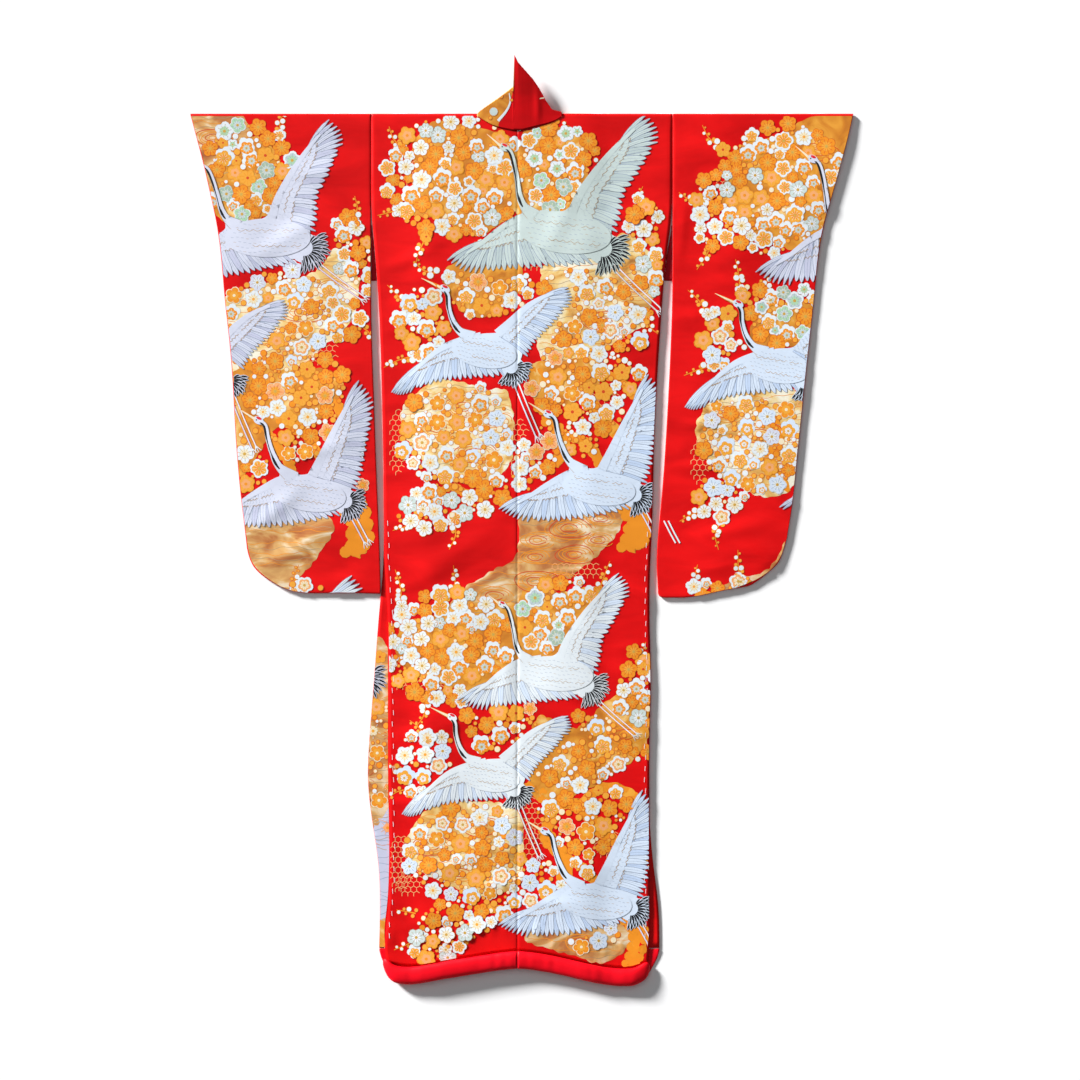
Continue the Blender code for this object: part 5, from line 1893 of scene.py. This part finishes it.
# The kinds of blossom in each mix; a kind that is named twice comes twice as often.
MIXES = {
    "warm": "half orange lined white_gold orange ring half_amber lined half white orange pearl",
    "green": "white_green orange ring_sage lined half ring sage amber half_amber green orange",
    "foil": "orange lined half white_gold orange ring_pale ice orange_white half_ice lilac"
            " half_amber",
    "orange": "orange lined half orange white_gold amber peach half_amber orange orange_white",
    "white": "white ice half white_gold ring_pale lined half_ice",
}
BUD_COLOURS = ("white", "amber", "white", "orange", "amber", "cream", "amber")
# How near two blossoms may be, as a share of their sizes, by the kind of crowd and for buds.
CLOSENESS = {"warm": 0.72, "green": 0.72, "foil": 0.92, "orange": 0.86, "white": 0.76}
BUD_CLOSENESS = 0.82
# Sizes in centimetres, and the share of a crowd's number, or how many buds are tried for each.
BLOSSOM_SIZES = ((1.98, 0.12), (1.76, 0.22), (1.54, 0.30), (1.30, 0.36))
BUD_SIZES = ((0.70, 3), (0.56, 5), (0.42, 5))
TRIES = 12

# Flowering twigs at the edges of the crowds: where each starts, its heading and its length.
SPRAYS = by_cloth(
    "x down heading length",
    back=(
        (-24, 7, 120, 5), (-25, 20, 195, 4), (-19, 26, 250, 6), (-8, 28, 235, 5), (25, 20, 80, 5),
        (-17, 33, 150, 5), (-23, 40, 130, 6), (-21, 50, 200, 7), (27, 42, 300, 4),
        (-20, 82, 215, 7), (-13, 84, 260, 6), (-17, 78, 190, 5), (-24, 101, 100, 7),
        (-15, 100, 75, 7), (-25, 113, 190, 4), (-19, 121, 250, 6), (17, 98, 70, 6),
        (26, 114, 85, 5), (-12, 121, 150, 5), (-19, 129, 130, 5), (-20, 140, 195, 8),
        (-23, 136, 150, 4), (-20, 170, 205, 6), (-15, 173, 250, 5), (-21, 165, 170, 4),
        (27, 154, 300, 4), (18, 44, 330, 5),
    ),
    sleeve_left=(
        (-49, 4, 75, 5), (-34, 22, 85, 5), (-32, 44, 300, 4), (-46, 98, 80, 5), (-33, 70, 80, 5),
    ),
    sleeve_right=(
        (42, 7, 130, 6), (38, 18, 160, 5), (40, 27, 240, 6), (46, 36, 100, 6), (39, 41, 130, 6),
        (40, 52, 200, 6), (38, 82, 205, 5), (42, 84, 265, 6), (38, 98, 100, 5), (46, 96, 95, 6),
        (52, 38, 95, 5),
    ),
)


def crowd_places(row, rng, taken):
    """Uneven places inside an oval, the largest first, then buds in the gaps."""
    found = []
    c, s = cos_sin(row.turn)

    def try_place(size, closeness):
        angle, out = rng.uniform(0, 2 * math.pi), math.sqrt(rng.random())
        if rng.random() < 0.4 * out ** 3:
            return
        u, v = row.wide * out * math.cos(angle), row.high * out * math.sin(angle)
        x, down = row.x + u * c - v * s, row.down + u * s + v * c
        for a, b, other in taken:
            if (x - a) ** 2 + (down - b) ** 2 < (closeness * (size + other)) ** 2:
                return
        taken.append((x, down, size))
        found.append((x, down, size))

    for size, share in BLOSSOM_SIZES:
        for _ in range(int(row.number * share * TRIES)):
            try_place(size * rng.uniform(0.92, 1.08), CLOSENESS[row.mix])
    for size, tries in BUD_SIZES:
        for _ in range(row.number * tries):
            try_place(size * rng.uniform(0.9, 1.1), BUD_CLOSENESS)
    return found


def hidden_by(birds):
    """A test for places that a crane covers."""
    tree = KDTree(max(1, len(birds.placed)))
    for k, (x, y) in enumerate(birds.placed):
        tree.insert((x, y, 0), k)
    tree.balance()

    def test(x, down):
        place = on_garment([(x, down)])[0]
        return len(tree.find_range((place[0], place[1], 0), 0.8 * CM)) > 4

    return test


# Spacing of the points in a ground, in centimetres: closer where it reaches down to the hem.
NEAR_HEM, HEM_CELL, CELL = 170, 0.5, 0.85


def build_grounds(cloth, rng):
    """The gold grounds of one stretch of cloth, with water, nets and branches."""
    lines = Figures("woven_" + cloth + "_grounds", cloth, GROUND_LIMIT)
    for row in GROUNDS[cloth]:
        outline = closed_curve([(x, -down) for x, down in row.places], 0.4)
        cell = HEM_CELL if max(down for _, down in row.places) > NEAR_HEM else CELL
        level = (OCHRE if row.colour == "ochre" else OTHER_GROUND) + NEXT_GROUND * row.layer
        lines.add(filled(scalloped(outline, 0.5, 2.3), cell), row.colour, level)
        if row.colour in FLOW_COLOURS:
            flow_lines(lines, outline, FLOW_COLOURS[row.colour], 1.15)
    for row in NETS.get(cloth, ()):
        net(lines, row)
    for row in EDDIES.get(cloth, ()):
        eddy(lines, row, rng)
    for row in BRANCHES.get(cloth, ()):
        branch(lines, row, rng)
    return lines


def build_blossoms(cloth, rng, covered, limit):
    """The blossoms and buds of one stretch of cloth, except those that a crane covers."""
    flowers = Figures("woven_" + cloth + "_blossoms", cloth, limit)
    taken = []
    for row in CROWDS[cloth]:
        for k, (x, down, size) in enumerate(crowd_places(row, rng, taken)):
            if covered(x, down):
                continue
            if size < 1.0:
                bud(flowers, x, down, size, rng.choice(BUD_COLOURS), BUD)
            else:
                blossom(flowers, rng.choice(MIXES[row.mix].split()), x, down, size,
                        rng.uniform(0, 72), BLOSSOM + NEXT_BLOSSOM * (k % 4))
    for row in SPRAYS.get(cloth, ()):
        spray(flowers, rng, *row)
    if cloth == "back":
        basting(flowers)
    return flowers.finish()


def cuff_toes(figures):
    """The toes of the back's crane where they run on over the right sleeve's seam."""
    for off in (0.0, 0.9):
        path = ((30.2 + off, -84.0), (31.4 + off, -86.4), (32.6 + off, -88.6))
        figures.add(ribbon(path, 0.3), "white", 1.0)


def build_figures(cloth, seed):
    """Everything woven on one stretch of cloth, in meshes that follow it."""
    rng = random.Random(seed)
    limit = STRIP_LIMIT if cloth == "front" else LIMIT
    lines = build_grounds(cloth, rng)
    birds = Figures("woven_" + cloth + "_cranes", cloth, limit)
    for row in CRANES[cloth]:
        crane(birds, row)
    if cloth == "sleeve_right":
        cuff_toes(birds)
    pieces = [lines.finish(), birds.finish()]
    return [*pieces, build_blossoms(cloth, rng, hidden_by(birds), limit)]


def basting(figures):
    """White basting stitches down both side edges of the back."""
    for side in (-1, 1):
        line = OUTLINES[side]
        for k, down in enumerate(np.arange(84.0, 171.0, 2.3)):
            edge = float(at(line["back_ys"], line["back_outer"], SHOULDER_Y - down * CM))
            x = (edge - SEAM_X) / CM - side * (0.75 + 0.12 * (k % 3))
            stitch = ribbon(((x, -down), (x - side * 0.06, -down - 1.0)), 0.10)
            figures.add(stitch, "white", STITCH)


def collar_figures():
    """What shows of the brocade on the collar's left side, and the small tack on its right."""
    figures = Figures("woven_collar", "collar")
    bud(figures, -4.9, -0.3, 0.95, "pearl_light", 0.3)
    curve = curve_through(((-1.7, 4.0), (-1.5, 2.2), (-2.3, 0.4), (-4.0, -1.6)), 12)
    figures.add(ribbon(curve, np.linspace(0.2, 0.6, 12)), "white", 0.35)
    buds = ((-1.1, -4.6, 0.34), (-1.2, -2.6, 0.36), (-3.3, -3.3, 0.4), (-5.6, 1.0, 0.42))
    for x, down, size in buds:
        bud(figures, x, down, size, "amber", 0.4)
    figures.add(ribbon(((4.6, 2.9), (5.5, 3.05)), 0.24), "cream", 1.9)
    return figures.finish()


# ---------------------------------------------------------------- stage, light and camera

def stage():
    """A pale floor just under the garment."""
    floor = bpy.data.meshes.new("floor")
    floor.from_pydata([(-6, -6, 0), (6, -6, 0), (6, 6, 0), (-6, 6, 0)], [], [(0, 1, 2, 3)])
    material, _, _ = new_material("pale_floor", (0.93, 0.93, 0.93), 0.9, specular=0.1)
    floor.materials.append(material)
    put("floor", floor, (0, 0, -0.0004))


def add_light(name, kind, energy, place, aim):
    """A light at a place, aimed at another."""
    light = bpy.data.lights.new(name, kind)
    light.energy = energy
    item = put(name, light, place)
    item.rotation_euler = (Vector(aim) - Vector(place)).to_track_quat("-Z", "Y").to_euler()
    return light


def light_and_camera():
    """A low sun from the upper left, a soft lamp, a white backdrop and a camera straight above."""
    scene = bpy.context.scene
    scene.view_settings.view_transform = "Standard"
    scene.view_settings.look = "None"
    world = bpy.data.worlds.new("soft_room")
    scene.world = world
    world.use_nodes = True
    tree = world.node_tree
    room = tree.nodes["Background"]
    fill(tree, room, {"Color": (0.95, 0.97, 1.0, 1.0), "Strength": 0.18})
    backdrop = add_node(tree, "Background", {"Color": (1.0, 1.0, 1.0, 1.0)})
    seen = add_node(tree, "LightPath", {})
    mix = add_node(tree, "MixShader", {
        "Fac": seen.outputs["Is Camera Ray"], 1: room.outputs[0], 2: backdrop.outputs[0],
    })
    fill(tree, tree.nodes["World Output"], {"Surface": mix.outputs["Shader"]})
    key = add_light("key_sun", "SUN", 9.6, (-3.0, 2.5, 1.20), (0, 0, 0))
    key.angle = math.radians(10)
    overhead = add_light("overhead", "AREA", 10.0, (-0.6, 0.7, 3.2), (0, 0.1, 0))
    overhead.shape, overhead.size = "DISK", 2.4
    frame_width, distance = 2.230, 6.5
    lens = bpy.data.cameras.new("camera")
    lens.sensor_width = 36.0
    lens.lens = lens.sensor_width * distance / frame_width
    lens.clip_end = 50.0
    scene.camera = put("camera", lens, (0.0375, -0.0385, distance))


# ---------------------------------------------------------------- the garment

def declare(item, with_pieces=(), *, area):
    """Makes a list of the pieces that ride on a sheet of cloth and keeps nothing; the sheet and its
    area are not used.
    """
    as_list(with_pieces)


def main():
    stage()
    light_and_camera()
    cloths = ("back", "sleeve_left", "sleeve_right", "front")
    figures = {cloth: build_figures(cloth, SEED + k) for k, cloth in enumerate(cloths)}
    figures["collar"] = [collar_figures()]
    bodies = {side: body_piece(side) for side in (-1, 1)}
    sleeves = {side: sleeve_piece(side) for side in (-1, 1)}
    rolls = [hem_roll(place, word) for place in ("back", "front") for word in WORDS.values()]
    collar = standing_collar()
    thin = {}
    for word in WORDS.values():
        for part in ("okumi_" + word, "collar_" + word):
            thin[part] = flat_piece("cloth_" + part, part, MATERIALS["satin"])
        thin["lining_" + word] = flat_piece(
            "cloth_lining_" + word, "lining_armhole_" + word, MATERIALS["lining"], 6 * MM)
    woven = [piece for group in figures.values() for piece in group]
    for item in [*bodies.values(), *sleeves.values(), *rolls, collar, *thin.values(), *woven]:
        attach(item, "root")
    on_left = figures["back"] + figures["front"]
    declare(bodies[-1], on_left, area=0.98)
    declare(bodies[1], area=0.97)
    declare(sleeves[-1], figures["sleeve_left"], area=0.60)
    declare(sleeves[1], figures["sleeve_right"], area=0.58)
    declare(collar, figures["collar"], area=0.0115)
    for word in WORDS.values():
        declare(thin["okumi_" + word], area=0.15)
        declare(thin["collar_" + word], area=0.062)
        declare(thin["lining_" + word], area=0.0009)


main()
